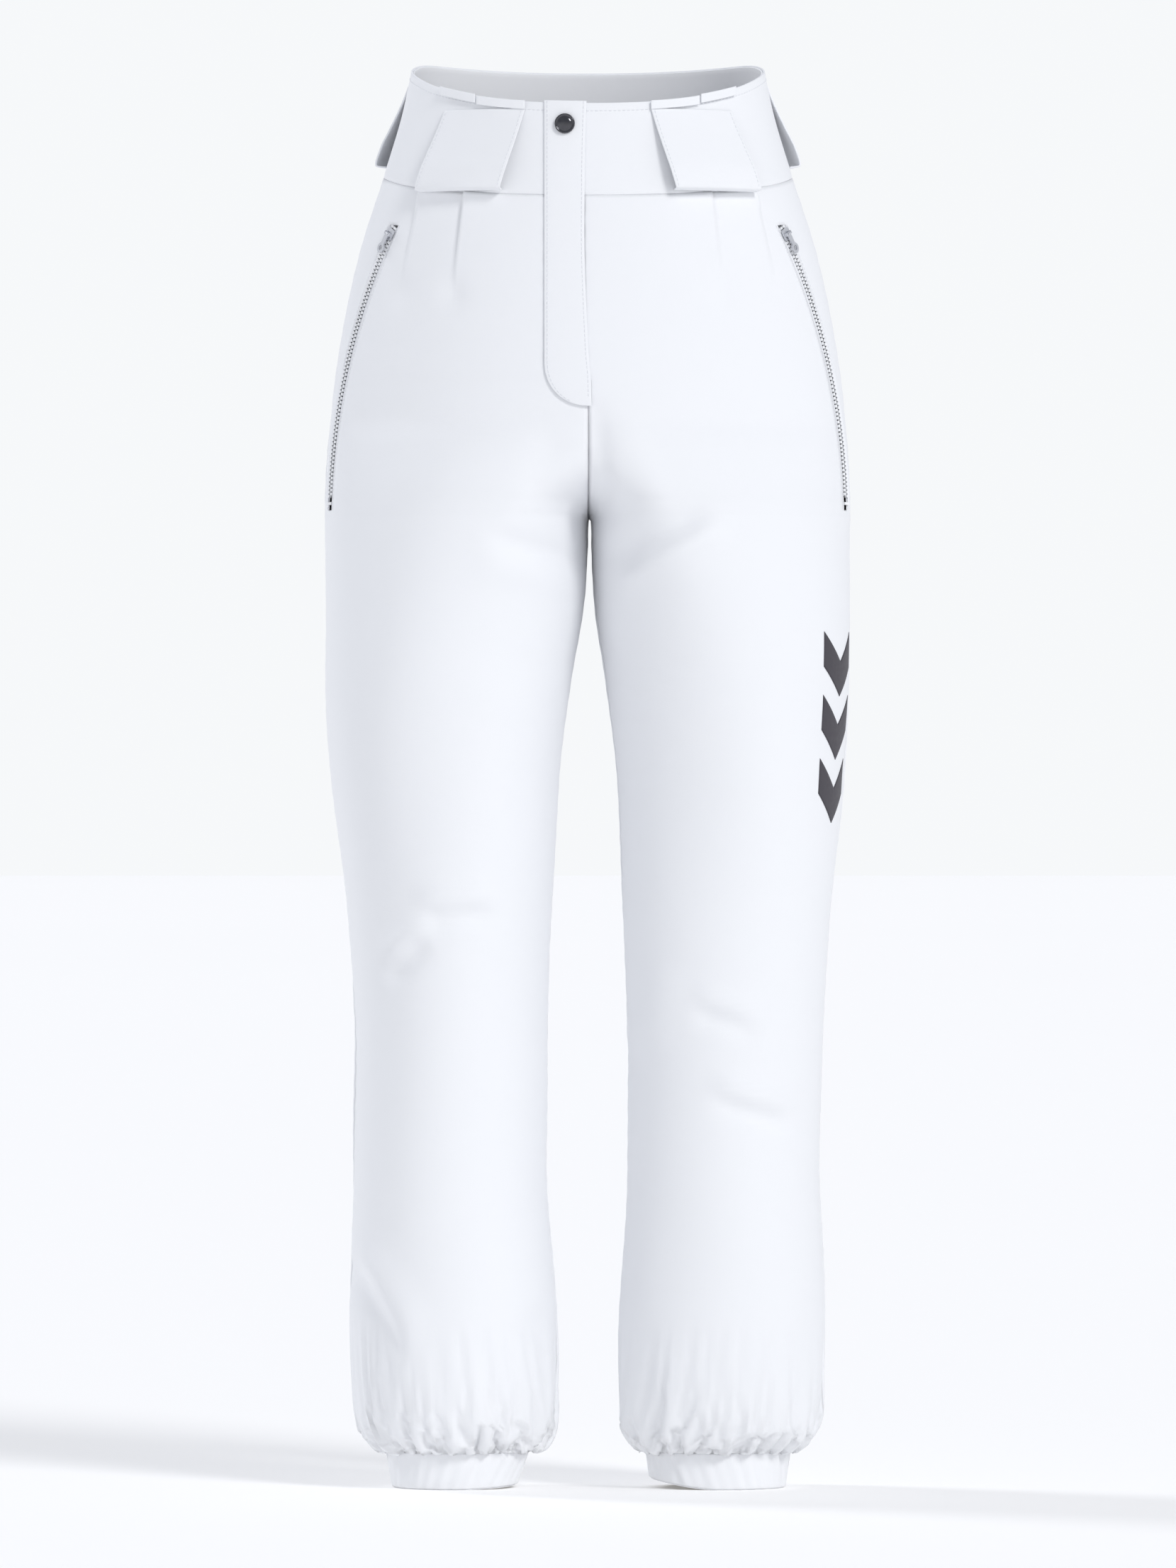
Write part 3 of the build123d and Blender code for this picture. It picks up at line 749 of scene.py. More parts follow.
def woven(name, light, dark, thread_mm, bump, roughness=0.8, sheen=0.25, rib=1.0):
    """Woven cloth: crossing threads along the cloth's own directions, and faint cloudiness."""
    nodes = Nodes(name)
    place = nodes.add("Attribute", attribute_name="weave").outputs["Vector"]
    scale = 0.1 * math.pi / (thread_mm * MM)
    warp = nodes.add("TexWave", {"Vector": place, "Scale": scale, "Distortion": 0.6,
                                 "Detail": 1.0, "Detail Scale": 2.0}, bands_direction="X")
    weft = nodes.add("TexWave", {"Vector": place, "Scale": scale * rib, "Distortion": 0.6,
                                 "Detail": 1.0, "Detail Scale": 2.0}, bands_direction="Y")
    threads = nodes.add("Math", {0: warp.outputs["Fac"], 1: weft.outputs["Fac"]}, operation="MULTIPLY")
    cloud = nodes.add("TexNoise", {"Vector": place, "Scale": 9.0, "Detail": 4.0})
    fleck = nodes.add("TexNoise", {"Vector": place, "Scale": 900.0, "Detail": 2.0})
    tone = nodes.add("Math", {0: cloud.outputs["Fac"], 1: fleck.outputs["Fac"]}, operation="ADD")
    colour = mixed(nodes, ranged(nodes, tone.outputs["Value"], -0.5, 1.5), dark, light)
    relief = nodes.add("Math", {0: threads.outputs["Value"], 1: fleck.outputs["Fac"]}, operation="ADD")
    height = nodes.add("Bump", {"Strength": bump, "Distance": thread_mm * MM * 0.4,
                                "Height": relief.outputs["Value"]})
    return nodes.shade(
        Base_Color=colour,
        Roughness=ranged(nodes, fleck.outputs["Fac"], roughness - 0.06, roughness + 0.06),
        Normal=height.outputs["Normal"],
        Sheen_Weight=sheen,
        Sheen_Roughness=0.45,
    )


def moulded(name, light, dark, roughness, metallic=0.0, coat=0.0, grain=2500.0, bump=0.05):
    """Moulded plastic, lacquer or metal: fine grain and small wear in colour and gloss."""
    nodes = Nodes(name)
    place = nodes.add("TexCoord").outputs["Object"]
    wear = nodes.add("TexNoise", {"Vector": place, "Scale": grain * 0.15, "Detail": 4.0})
    fine = nodes.add("TexNoise", {"Vector": place, "Scale": grain, "Detail": 2.0})
    height = nodes.add("Bump", {"Strength": bump, "Distance": 0.0001, "Height": fine.outputs["Fac"]})
    return nodes.shade(
        Base_Color=mixed(nodes, wear.outputs["Fac"], dark, light),
        Roughness=ranged(nodes, wear.outputs["Fac"], roughness * 0.8, roughness * 1.25),
        Metallic=metallic,
        Coat_Weight=coat,
        Coat_Roughness=0.08,
        Normal=height.outputs["Normal"],
    )


shell_cloth = woven("shell_cloth", (0.85, 0.86, 0.885), (0.805, 0.815, 0.845), 0.5, 0.3)
# Painted light: the facing is the shell's white cloth painted lighter than the shell, to offset the shade
# that falls on the inside of the waist. The underlap and the waistband extension use it too.
facing_cloth_painted_lighter = woven("facing_cloth_painted_lighter", (0.90, 0.905, 0.925), (0.86, 0.865, 0.89), 0.45, 0.2)
lining_cloth = woven("lining_taffeta", (0.62, 0.635, 0.68), (0.55, 0.565, 0.61), 0.3, 0.15, 0.45, 0.1)
tape_cloth = woven("zip_tape", (0.84, 0.85, 0.88), (0.77, 0.78, 0.82), 0.8, 0.5, rib=0.5)
elastic_knit = woven("elastic_knit", (0.74, 0.74, 0.75), (0.60, 0.60, 0.62), 1.6, 0.8, rib=0.4)
thread = moulded("sewing_thread", (0.80, 0.81, 0.84), (0.70, 0.71, 0.75), 0.6, grain=6000.0, bump=0.4)
tooth_plastic = moulded("zip_teeth", (0.88, 0.885, 0.90), (0.82, 0.83, 0.85), 0.32, coat=0.2)
pale_metal = moulded("zip_lacquer", (0.70, 0.71, 0.74), (0.56, 0.57, 0.61), 0.3, 0.75, 0.3)
gunmetal = moulded("snap_gunmetal", (0.085, 0.085, 0.095), (0.05, 0.05, 0.057), 0.1, 0.9, 0.5)
plain_steel = moulded("snap_steel", (0.5, 0.5, 0.52), (0.36, 0.36, 0.38), 0.3, 1.0)
print_film = moulded(
    "print_film", (0.052, 0.046, 0.058), (0.034, 0.030, 0.040), 0.55, grain=1800.0, bump=0.15
)


# ---------------------------------------------------------------- panels and lining


def slot_cells(grid):
    """The cells that lie in the pocket zip's opening."""
    z = grid[:, SLOT_COLUMNS.start, 2]
    rows = [r for r in range(len(grid) - 1) if ZIP_LOW_Z < z[r + 1] and z[r] < ZIP_TOP_Z + 0.5]
    return {(r, c) for r in rows for c in SLOT_COLUMNS}


panels = {}
for side in SIDES:
    draped = {}
    for face in (1, -1):
        plain = panel_grid(side, face, fly_end if face > 0 else lambda z, s: 0.0)
        draped[face] = plain + normals_of(plain) * drape(side, face, plain)[:, :, None]
        panels[(side, face, "plain")] = plain
    # Both faces share the side seam, above the crotch the middle, and below it the inseam.
    meet = (draped[1][:, 0] + draped[-1][:, 0]) / 2
    draped[1][:, 0] = draped[-1][:, 0] = meet
    below = plain[:, 0, 2] < CROTCH_Z - 3
    draped[-1][~below, -1, 0] = 0
    draped[1][~below & (plain[:, 0, 2] < FLY_SPLIT_Z - 11), -1, 0] = 0
    inseam = (draped[1][below, -1] + draped[-1][below, -1]) / 2
    draped[1][below, -1] = inseam
    draped[-1][below, -1] = inseam
    tube = tube_of(draped[1][GATHER_ROW:], draped[-1][GATHER_ROW:])
    drawn_in = gathered(side, tube)
    columns = draped[1].shape[1]
    draped[1][GATHER_ROW:] = drawn_in[:, :columns]
    rest = np.concatenate([drawn_in[:, columns - 1 :], drawn_in[:, :1]], axis=1)
    draped[-1][GATHER_ROW:] = rest[:, ::-1]
    for face, name in ((1, "front"), (-1, "back")):
        panels[(side, face)] = mirrored(draped[face], side)
        cloth_piece(
            f"cloth_{name}_panel_{side}",
            panels[(side, face)],
            (SIDES[side] * 70, 5, 0),
            shell_cloth,
            [f"{name}_panel_{side}"],
            slot_cells(panels[(side, 1, "plain")]) if face > 0 else (),
        )


def zip_guard(side):
    """A strip of cloth behind a pocket zip, clear of its slider."""
    plain = panels[(side, 1, "plain")]
    z = plain[:, SLOT_COLUMNS.start, 2]
    rows = (z > ZIP_LOW_Z - 6) & (z < ZIP_TOP_Z + 6)
    shallow, deep = ZIP_GUARD_DEPTH
    depth = shallow + (deep - shallow) * ease((ZIP_TOP_Z - 10 - plain[:, :, 2]) / 60)
    behind = plain - normals_of(plain) * depth[:, :, None]
    return mirrored(behind[rows][:, SLOT_COLUMNS.start - 2 : SLOT_COLUMNS.stop + 3], side)


for side in SIDES:
    cloth_piece(
        f"zip_guard_{side}", zip_guard(side), (SIDES[side] * 70, 5, 0), shell_cloth,
        thickness=0.6,
    )

LINING_END_ROW = GATHER_ROW + 36


def lining_end(z, side):
    clear = 12 if side == "left" else 46
    return clear * ease((z + 232) / 10)


for side in SIDES:
    faces = []
    for face in (1, -1):
        plain = panel_grid(side, face, lining_end if face > 0 else lambda z, s: 0.0, False)
        wave = 0.8 * np.sin(plain[:, :, 0] / 7 + 1.7 * face) * ease((-120 - plain[:, :, 2]) / 100)
        inside = plain - normals_of(plain) * (LINING_GAP + wave)[:, :, None]
        faces.append(inside[:LINING_END_ROW])
    whole = np.concatenate([faces[0][:, ::-1], faces[1][:, 1:]], axis=1)
    cloth_piece(
        f"cloth_lining_{side}", mirrored(whole, side), (SIDES[side] * 70, 5, 0),
        lining_cloth, [f"lining_{side}"], thickness=0.5,
    )


# ---------------------------------------------------------------- waistband


def band_grid(face, end_x, lift, top_drop=0.0, rows=22, columns=60):
    """Cloth between the waistband's top edge and its seam, on one face of one side."""
    grid = []
    for step in range(rows + 1):
        share = step / rows
        turns = np.linspace(0, float(turn_at(end_x, -30)), columns + 1)
        z = np.full(len(turns), -30.0)
        for _ in range(6):
            y = outline(turns, z, face)[:, 1]
            top, seam = curve(TOP_EDGE, y) - top_drop, curve(SEAM_EDGE, y)
            z = top + (seam - top) * share
        grid.append(outline(turns, z, face))
    grid = np.array(grid)
    return grid + normals_of(grid) * lift


def band_relief(grid):
    """A rolled top edge, a flat row of topstitching below it, and the seam at the foot."""
    drop = running(grid)
    foot = drop[-1:] - drop
    stitch = -0.35 * np.exp(-(((drop - 6) / 1.6) ** 2))
    return stitch - 0.3 * np.exp(-foot / 2.2) + 0.25 * np.sin(grid[:, :, 0] / 9) * np.exp(-foot / 9)


def around_back(left):
    return np.concatenate([mirrored(left, "right"), left[:, -2::-1]], axis=1)


band = {}
for side in SIDES:
    plain = band_grid(1, FLY_EDGE_X[side], 0.0)
    band[side] = mirrored(plain + normals_of(plain) * band_relief(plain)[:, :, None], side)
    cloth_piece(
        f"cloth_waistband_{side}", band[side], (0, 5, 0), shell_cloth,
        [f"waistband_{side}"], thickness=1.5, rounded=0.5,
    )
half = band_grid(-1, 0.0, 0.0)
half = half + normals_of(half) * band_relief(half)[:, :, None]
band["back"] = around_back(half)
cloth_piece(
    "cloth_waistband_back", band["back"], (0, 5, 0), shell_cloth,
    ["waistband_back"], thickness=1.5, rounded=0.5,
)

left_facing = band_grid(1, FLY_EDGE_X["left"], FACING_LIFT, FACING_DROP)
right_facing = band_grid(1, FLY_EDGE_X["right"], FACING_LIFT, FACING_DROP)
back_facing = around_back(band_grid(-1, 0.0, FACING_LIFT, FACING_DROP))
facing = np.concatenate(
    [mirrored(right_facing, "right")[:, :0:-1], back_facing, left_facing[:, 1:]], axis=1
)
cloth_piece(
    "cloth_waistband_facing", facing, (0, 5, 0), facing_cloth_painted_lighter,
    ["waistband_facing"], thickness=1.2, rounded=0.4,
)


# ---------------------------------------------------------------- belt loops


def loop_grid(corners, rise, rows=34, columns=26):
    """A wide strip that leaves the waistband, bulges and comes back to it."""
    (top_a, top_b), (low_a, low_b) = corners
    heights = [p[0] for p in LOOP_PROFILE][::-1]
    grid = []
    for z in np.concatenate([np.linspace(heights[-1], LOOP_FOOT[0], rows + 1)[:-1], LOOP_FOOT]):
        share = (heights[-1] - z) / (heights[-1] - heights[0])
        angle = np.radians(np.linspace(
            top_a + (low_a - top_a) * share, top_b + (low_b - top_b) * share, columns + 1
        ))
        _, _, outer, middle, depth = section(z + rise)
        stand = float(curve(LOOP_PROFILE[::-1], z)) + LOOP_CLOTH
        edge = abs(np.linspace(-1, 1, columns + 1))
        stand = stand + 0.35 * edge**6 * min(stand / 6, 1)
        normal = np.stack([np.cos(angle) / outer, np.sin(angle) / depth], -1)
        normal /= np.linalg.norm(normal, axis=1, keepdims=True)
        x = outer * np.cos(angle) + normal[:, 0] * stand
        y = middle + depth * np.sin(angle) + normal[:, 1] * stand
        grid.append(np.stack([x, y, np.full(columns + 1, z + rise)], -1))
    return np.array(grid)


loops = {}
for place, corners, rise in (("front", FRONT_LOOP, 0), ("back", BACK_LOOP, BACK_LOOP_RISE)):
    for side in SIDES:
        name = f"belt_loop_{place}_{side}"
        loops[name] = mirrored(loop_grid(corners, rise), side)
        cloth_piece(
            f"cloth_{name}", loops[name], (0, 5, 0), shell_cloth,
            [name], thickness=LOOP_CLOTH - 0.2, rounded=0.4,
        )


def strip_grid(from_x, to_x, rise, columns=16, rows=5):
    grid = []
    for step in range(rows + 1):
        x = np.linspace(to_x, from_x, columns + 1)
        z = np.zeros(columns + 1)
        for _ in range(6):
            y = outline(turn_at(x, z), z, 1)[:, 1]
            z = curve(TOP_EDGE, y) + rise + 0.3 - STRIP_DEPTH * step / rows
        grid.append(outline(turn_at(x, z), z, 1))
    grid = np.array(grid)
    return grid + normals_of(grid) * 2.9


for side in SIDES:
    for part, (from_x, to_x, rise) in STRIPS.items():
        cloth_piece(
            f"loop_strip_{part}_{side}", mirrored(strip_grid(from_x, to_x, rise), side), (0, 5, 0),
            shell_cloth, thickness=1.2, rounded=0.35,
        )


# ---------------------------------------------------------------- fly

J_START_Z = FLY_SPLIT_Z + 6
FREE_EDGE = [(FLY_END_Z, 2.6), (-205, 2.2), (-183, 0.4), (-95, -2.6), (-40, -2.2), (3, -1.0)]


def placket_edges(z):
    """The placket's hinge side and free side at a height: its foot is a J."""
    right = curve(FREE_EDGE, z)
    drop = np.clip((J_START_Z - z) / (J_START_Z - FLY_END_Z), 0, 1)
    reach = (1 - drop**J_POWER) ** (1 / J_POWER)
    return right - (right - FLY_HINGE_X) * reach, right


def placket_grid(rows=96, columns=14):
    grid = []
    for step in range(rows + 1):
        share = step / rows
        z_mark = (FLY_END_Z + 0.4) * (1 - (1 - share) ** 1.25)
        left, right = placket_edges(z_mark)
        x = np.linspace(left, right, columns + 1)
        z = np.full(columns + 1, z_mark)
        if step < 6:
            y = outline(turn_at(abs(x), z), z, 1)[:, 1]
            z = z + (curve(TOP_EDGE, y) + 1.2) * (1 - step / 6)
        grid.append(np.stack([x, outline(turn_at(abs(x), z), z, 1)[:, 1], z], -1))
    return np.array(grid)


def front_normals(grid):
    normal = normals_of(grid)
    return normal if normal[:, :, 1].mean() < 0 else -normal


placket_base = placket_grid()
steps_in = np.minimum(np.arange(15), np.arange(15)[::-1])
puff = 0.35 * (1 - np.exp(-steps_in / 1.5))[None, :] - 0.25
placket_points = placket_base + front_normals(placket_base) * (PLACKET_LIFT + puff)[:, :, None]
placket = cloth_piece(
    "cloth_fly_placket", placket_points, (0, 5, 0), shell_cloth,
    ["fly_placket", "fly_placket_end"], thickness=1.4, rounded=0.4, body=None,
)
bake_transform(placket)


def underlap_grid(rows=44, columns=14):
    left, right, top, low = UNDERLAP
    x, z = np.meshgrid(np.linspace(left, right, columns + 1), np.linspace(top, low, rows + 1))
    return np.stack([x, outline(turn_at(abs(x), z), z, 1)[:, :, 1], z], -1)


base = underlap_grid()
cloth_piece(
    "cloth_fly_underlap", base - front_normals(base) * (9.0 + 0.25 * np.sin(base[:, :, 2:] / 9)),
    (0, 5, 0), facing_cloth_painted_lighter, ["fly_underlap"], thickness=0.9, rounded=0.3,
)


def lathe(name, profile, centre, axis, material, nodes, body, segments=64):
    """A turned piece: profile is (radius, height along the axis) from the middle outward."""
    axis = Vector(axis).normalized()
    across = axis.orthogonal().normalized()
    beside = axis.cross(across)
    points, faces = [np.array(centre) + np.array(axis) * profile[0][1]], []
    for radius, height in profile[1:]:
        for k in range(segments):
            angle = 2 * math.pi * k / segments
            spoke = across * math.cos(angle) + beside * math.sin(angle)
            points.append(np.array(centre) + np.array(spoke) * radius + np.array(axis) * height)
    for k in range(segments):
        faces.append((0, 1 + k, 1 + (k + 1) % segments))
    for r in range(len(profile) - 2):
        for k in range(segments):
            a, b = 1 + r * segments + k, 1 + r * segments + (k + 1) % segments
            faces.append((a, a + segments, b + segments, b))
    last = 1 + (len(profile) - 2) * segments
    faces.append(tuple(range(last + segments - 1, last - 1, -1)))
    obj = plain_mesh(name, points, faces)
    obj.data.polygons.foreach_set("use_smooth", [True] * len(faces))
    soften(obj, 0.08)
    obj.data.materials.append(material)
    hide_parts(*nodes)
    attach(obj, body)
    return obj


snap_low, snap_high = low_high("snap_cap")
snap_middle = (snap_low + snap_high) / 2
SNAP_AXIS = (-0.012, -0.995, 0.096)
SNAP_PROFILE = [
    (0, 2.0), (1.2, 1.96), (2.4, 1.84), (3.6, 1.62), (4.8, 1.28), (5.7, 0.95), (6.1, 1.1), (6.45, 1.4),
    (6.9, 1.5), (7.25, 1.3), (7.45, 0.9), (7.5, 0.4), (7.45, -0.4), (7.3, -0.9),
]
lathe("snap_cap_turned", SNAP_PROFILE, snap_middle, SNAP_AXIS, gunmetal,
      ["snap_cap"], "fly_flap")


# ---------------------------------------------------------------- pocket bags


def bag_grid(rows=40, columns=18):
    """The bag behind a pocket zip, with rounded lower corners."""
    grid = []
    for step in range(rows + 1):
        z = BAG_TOP_Z - BAG_DEPTH * step / rows
        corner = max(0, (step / rows - 0.85) / 0.15)
        narrow = BAG_CORNER * (1 - math.sqrt(max(0, 1 - corner**2)))
        shift = 0.16 * (z + 205)
        high, low = min(BAG_OUTER_X, float(section(z)[2]) - 2), BAG_INNER_X - shift + narrow
        turns = turn_at(np.linspace(high, low, columns + 1), z)
        grid.append(outline(turns, np.full(columns + 1, z), 1))
    grid = np.array(grid)
    edge = np.minimum.outer(
        np.minimum(np.arange(rows + 1), np.arange(rows + 1)[::-1]) / 4,
        np.minimum(np.arange(columns + 1), np.arange(columns + 1)[::-1]) / 3,
    )
    return grid - normals_of(grid) * (BAG_GAP - 0.3 * np.clip(edge, 0, 1))[:, :, None]


for side in SIDES:
    cloth_piece(
        f"cloth_pocket_bag_{side}", mirrored(bag_grid(), side), (SIDES[side] * 70, 5, 0),
        lining_cloth, [f"pocket_bag_{side}"], thickness=0.8,
    )


# ---------------------------------------------------------------- cuffs


def cuff_grid(side, layers, columns=168):
    """Rings of the cuff: layers are (share of the height from top to hem, offset, crumple)."""
    share = np.arange(columns) / columns
    (top_x, top_y), (low_x, low_y) = cuff_point(side, share), cuff_point(side, share, False)
    tilt = CUFF_LIFT[side] * np.clip(-np.cos(2 * math.pi * share), 0, 1) ** 1.5
    grid = []
    for height, offset, crumple in layers:
        x = top_x + (low_x - top_x) * height
        y = top_y + (low_y - top_y) * height
        ring = np.stack([x, y], -1)
        along = np.roll(ring, -1, axis=0) - np.roll(ring, 1, axis=0)
        normal = np.stack([along[:, 1], -along[:, 0]], -1)
        normal /= np.linalg.norm(normal, axis=1, keepdims=True)
        if np.sum(normal * (ring - ring.mean(axis=0))) < 0:
            normal = -normal
        lean = share + 0.03 * height
        relief = 0.35 * np.sin(2 * math.pi * lean * 31 + SIDES[side])
        relief += 0.3 * np.sin(2 * math.pi * lean * 17 + 2)
        relief += 0.8 * np.exp(-(((lean - 0.36) / 0.012) ** 2)) + 0.7 * np.exp(-(((lean - 0.2) / 0.01) ** 2))
        ring = ring + normal * (offset + crumple * relief)[:, None]
        z = LEG_END_Z + 1 + (HEM_Z + tilt - LEG_END_Z - 1) * height
        grid.append(np.column_stack([ring, z]))
    return np.array(grid)


CUFF_OUTER = [(0, -1.6, 0.2), (0.03, -0.3, 0.5)] + [(0.03 + 0.92 * k / 9, 0, 1) for k in range(1, 10)]
CUFF_HEM = [(0.99, -0.4, 0.8), (1.0, -1.3, 0.4), (1.0, -2.6, 0.2), (0.985, -3.5, 0)]
CUFF_INNER = [(0.95 - 0.95 * k / 6, -3.9, 0) for k in range(7)]
ELASTIC = [(0.06 + 0.88 * k / 10, -2.0, 0.3) for k in range(11)]

for side in SIDES:
    ring = mirrored(cuff_grid(side, CUFF_OUTER + CUFF_HEM + CUFF_INNER), side)
    cloth_piece(
        f"cloth_cuff_{side}", ring[: len(CUFF_OUTER) + 2], (SIDES[side] * 97.5, 3, 0), shell_cloth,
        [f"cuff_{side}"], closed=True, thickness=0.9,
    )
    cloth_piece(
        f"cloth_cuff_inner_{side}", ring[len(CUFF_OUTER) + 1 :], (SIDES[side] * 97.5, 3, 0),
        shell_cloth, closed=True, thickness=0.8,
    )
    cloth_piece(
        f"knit_elastic_{side}", mirrored(cuff_grid(side, ELASTIC), side), (SIDES[side] * 97.5, 3, 0),
        elastic_knit, [f"cuff_elastic_{side}"], closed=True, thickness=1.0,
    )


# ---------------------------------------------------------------- print and stitching


def tree_of(name):
    mesh = bpy.data.objects[name].data
    points = [v.co.copy() for v in mesh.vertices]
    return BVHTree.FromPolygons(points, [p.vertices[:] for p in mesh.polygons])


def chevron_grid(top, tree, columns=28, rows=10):
    """One chevron laid on the cloth: rows of points found by looking inward at the leg."""
    centre = np.array([*PRINT_AXIS, 0])
    grid = []
    for step in range(rows + 1):
        row = []
        for across in np.linspace(-PRINT_WIDTH / 2, PRINT_WIDTH / 2, columns + 1):
            z = top - PRINT_RISE * (1 - 2 * abs(across) / PRINT_WIDTH) - PRINT_STROKE * step / rows
            angle = math.radians(PRINT_TURN) + across / 88
            outward = Vector((math.cos(angle), math.sin(angle), 0))
            start = Vector(centre * MM) + outward * 0.3
            start.z = z * MM
            hit, normal, _, _ = tree.ray_cast(start, -outward)
            row.append(np.array(hit + outward * PRINT_LIFT * MM) / MM)
        grid.append(row)
    return np.array(grid)


def joined(name, objs):
    """Several pieces of one kind as one object."""
    bpy.ops.object.select_all(action="DESELECT")
    for obj in objs:
        obj.select_set(True)
    bpy.context.view_layer.objects.active = objs[0]
    bpy.ops.object.join()
    objs[0].name = name
    return objs[0]


left_leg = tree_of("cloth_front_panel_left")
films = [
    cloth_piece(
        f"chevron_{k}", chevron_grid(PRINT_TOP_Z - k * PRINT_PITCH, left_leg), (105, -6, 0),
        print_film, thickness=0.3, body=None,
    )
    for k in range(3)
]
film = joined("print_chevrons", films)
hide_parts("leg_print")
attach(film, "root")


def even_points(line, spacing):
    line = np.asarray(line, float)
    arc = running(line)
    at = np.arange(0, arc[-1], spacing)
    return np.stack([np.interp(at, arc, line[:, k]) for k in range(3)], -1)


def stitched(name, lines, body="root"):
    """Rows of lockstitches: short threads that dip into the cloth at both ends."""
    points, faces = [], []
    shape = [(0.0, 0.35, -0.3), (0.2, 1.0, 0.1), (0.8, 1.0, 0.1), (1.0, 0.35, -0.3)]
    sides = 6
    for line in lines:
        starts = even_points(line, STITCH_LENGTH + STITCH_GAP)
        for a, b in zip(starts, starts[1:]):
            along = (b - a) / np.linalg.norm(b - a)
            middle = (a + b) / 2
            out = np.array([middle[0] - np.sign(middle[0]) * min(abs(middle[0]), 60), middle[1] - 5, 0])
            out /= np.linalg.norm(out)
            beside = np.cross(along, out)
            first = len(points)
            for share, radius, lift in shape:
                centre = a + along * STITCH_LENGTH * share + out * lift * THREAD_RADIUS
                for k in range(sides):
                    angle = 2 * math.pi * k / sides
                    spoke = beside * math.cos(angle) + out * math.sin(angle)
                    points.append(centre + spoke * radius * THREAD_RADIUS)
            for r in range(len(shape) - 1):
                for k in range(sides):
                    p, q = first + r * sides + k, first + r * sides + (k + 1) % sides
                    faces.append((p, q, q + sides, p + sides))
            faces.append(tuple(first + k for k in range(sides))[::-1])
            faces.append(tuple(first + (len(shape) - 1) * sides + k for k in range(sides)))
    obj = plain_mesh(name, points, faces)
    obj.data.polygons.foreach_set("use_smooth", [True] * len(faces))
    obj.data.materials.append(thread)
    if body:
        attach(obj, body)
    return obj


def grid_line(grid, drop):
    """A line along a band at a distance below its top edge."""
    arc = running(grid)
    return [
        [np.interp(drop, arc[:, c], grid[:, c, k]) for k in range(3)]
        for c in range(grid.shape[1])
    ]


def along_column(grid, column, inset, rows=slice(None), step=None):
    """A line down a grid, set off from one of its columns: inward, or toward the step given."""
    edge = grid[rows, column]
    inward = grid[rows, column + (step or (1 if column == 0 else -1))] - edge
    inward /= np.linalg.norm(inward, axis=1, keepdims=True)
    return edge + inward * inset


stitched("stitches_waist", [grid_line(band[k], 6.0) for k in ("left", "right", "back")])
loop_edges = [along_column(g, c, 2.2)[1:-1] for g in loops.values() for c in (0, -1)]
stitched("stitches_loops", loop_edges)

foot_rows = slice(0, -3)
free_side = along_column(placket_points, -1, 2.2, foot_rows)
hinge_side = along_column(placket_points, 0, 2.2, foot_rows)
placket_thread = stitched("stitches_placket", [free_side, hinge_side], body=None)
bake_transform(placket_thread)

zip_edges = []
for side in SIDES:
    grid, plain = panels[(side, 1)], panels[(side, 1, "plain")]
    z = plain[:, SLOT_COLUMNS.start, 2]
    rows = (z > ZIP_LOW_Z - 3) & (z < ZIP_TOP_Z + 3)
    for column, step in ((SLOT_COLUMNS.start, -1), (SLOT_COLUMNS.stop, 1)):
        zip_edges.append(along_column(grid, column, 1.8, rows, step))
stitched("stitches_zips", zip_edges)


# ---------------------------------------------------------------- finishes of the CAD pieces


def finish_node(name, material, edge=0.0):
    node = frame["nodes"][name]
    node.data.materials.clear()
    node.data.materials.append(material)
    if edge:
        soften(node, edge)


FINISHES = {
    "tape": (tape_cloth, 0.0),
    "teeth": (tooth_plastic, 0.28),
    "top_stops": (tooth_plastic, 0.3),
    "bottom_stop": (tooth_plastic, 0.3),
    "slider": (pale_metal, 0.25),
    "pull": (pale_metal, 0.2),
}
for part, (material, edge) in FINISHES.items():
    for zip_name in (f"pocket_zip_{part}_left", f"pocket_zip_{part}_right", f"fly_zip_{part}"):
        finish_node(zip_name, material, edge)
for name in ("snap_post", "snap_socket", "snap_stud"):
    finish_node(name, plain_steel, 0.15)
finish_node("waistband_extension", facing_cloth_painted_lighter, 0.3)


# ---------------------------------------------------------------- floor, light, camera

FLOOR_HALF = 60000

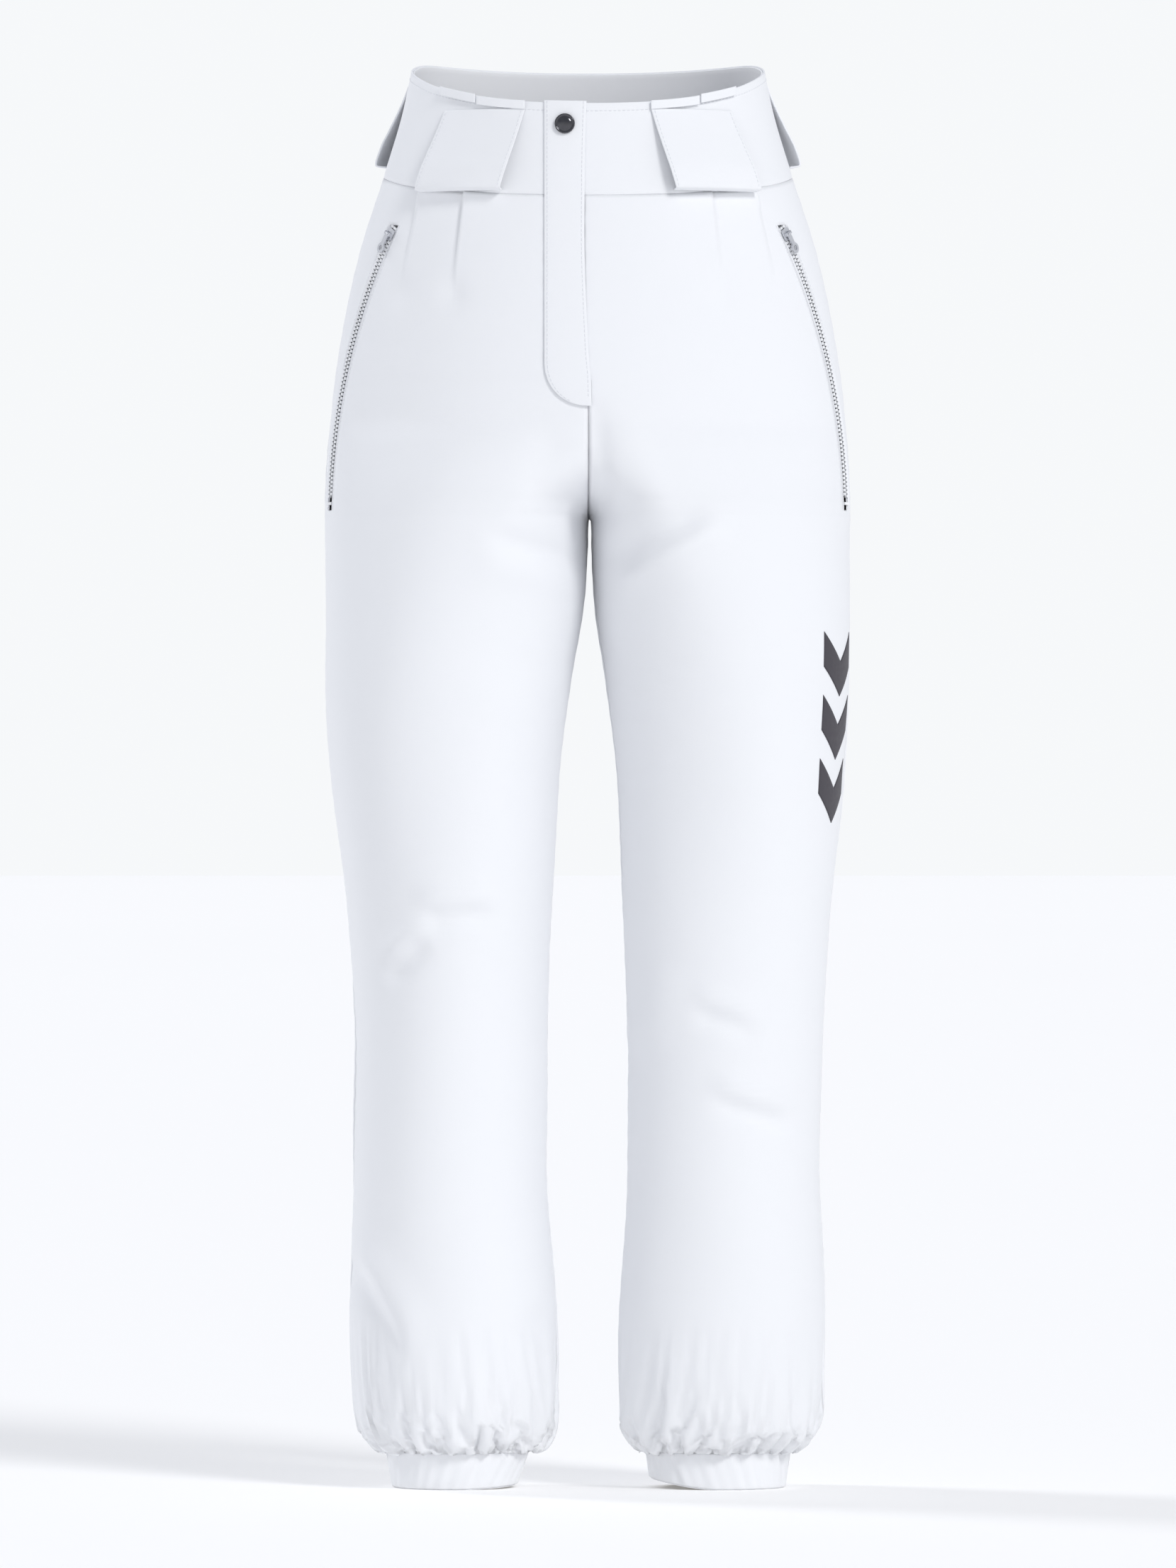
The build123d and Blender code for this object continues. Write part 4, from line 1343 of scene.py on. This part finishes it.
scene = bpy.context.scene
floor = plain_mesh(
    "floor",
    [(x * FLOOR_HALF, y * FLOOR_HALF, HEM_Z - 0.5) for x, y in ((-1, -1), (1, -1), (1, 1), (-1, 1))],
    [(0, 1, 2, 3)],
)
paper = Nodes("floor_paper")
grain = paper.add("TexNoise", {"Scale": 20.0, "Detail": 2.0})
floor.data.materials.append(paper.shade(
    Base_Color=mixed(paper, grain.outputs["Fac"], (0.86, 0.865, 0.875), (0.87, 0.875, 0.885)),
    Roughness=0.9,
    Emission_Color=(1.0, 0.96, 0.9, 1),
    Emission_Strength=0.2,
))

# A studio sky: bright round the horizon and darker overhead.
world = bpy.data.worlds.new("studio")
world.use_nodes = True
sky = world.node_tree
direction = sky.nodes.new("ShaderNodeTexCoord")
split = sky.nodes.new("ShaderNodeSeparateXYZ")
rise = sky.nodes.new("ShaderNodeMapRange")
tones = sky.nodes.new("ShaderNodeMix")
tones.data_type = "RGBA"
rise.inputs["From Min"].default_value = 0.12
rise.inputs["From Max"].default_value = 0.4
tones.inputs[6].default_value = (0.925, 0.94, 0.955, 1)
tones.inputs[7].default_value = (0.455, 0.475, 0.525, 1)
sky.links.new(direction.outputs["Generated"], split.inputs[0])
sky.links.new(split.outputs["Z"], rise.inputs["Value"])
sky.links.new(rise.outputs["Result"], tones.inputs[0])
sky.links.new(tones.outputs[2], sky.nodes["Background"].inputs[0])
scene.world = world
scene.view_settings.view_transform = "Standard"


def soft_sun(name, towards, strength, angle, colour):
    """A broad, even light that shines from a direction."""
    data = bpy.data.lights.new(name, "SUN")
    data.energy = strength
    data.angle = math.radians(angle)
    data.color = colour
    lamp = bpy.data.objects.new(name, data)
    lamp.rotation_euler = Vector(towards).to_track_quat("Z", "Y").to_euler()
    scene.collection.objects.link(lamp)


soft_sun("key", (0.9, -1.25, 1.05), 1.25, 16, (1.0, 0.995, 0.98))
soft_sun("back", (-1.3, 0.9, 1.0), 0.85, 14, (0.97, 0.98, 1.0))

CAMERA_DISTANCE = 9.0
CAMERA_HEIGHT = -0.502
VIEW_HEIGHT = 1.1697
camera_data = bpy.data.cameras.new("camera")
camera_data.sensor_width = 36
camera_data.lens = 36 * CAMERA_DISTANCE / VIEW_HEIGHT
camera = bpy.data.objects.new("camera", camera_data)
camera.location = (0, -CAMERA_DISTANCE, CAMERA_HEIGHT)
camera.rotation_euler = (math.pi / 2, 0, 0)
scene.collection.objects.link(camera)
scene.camera = camera
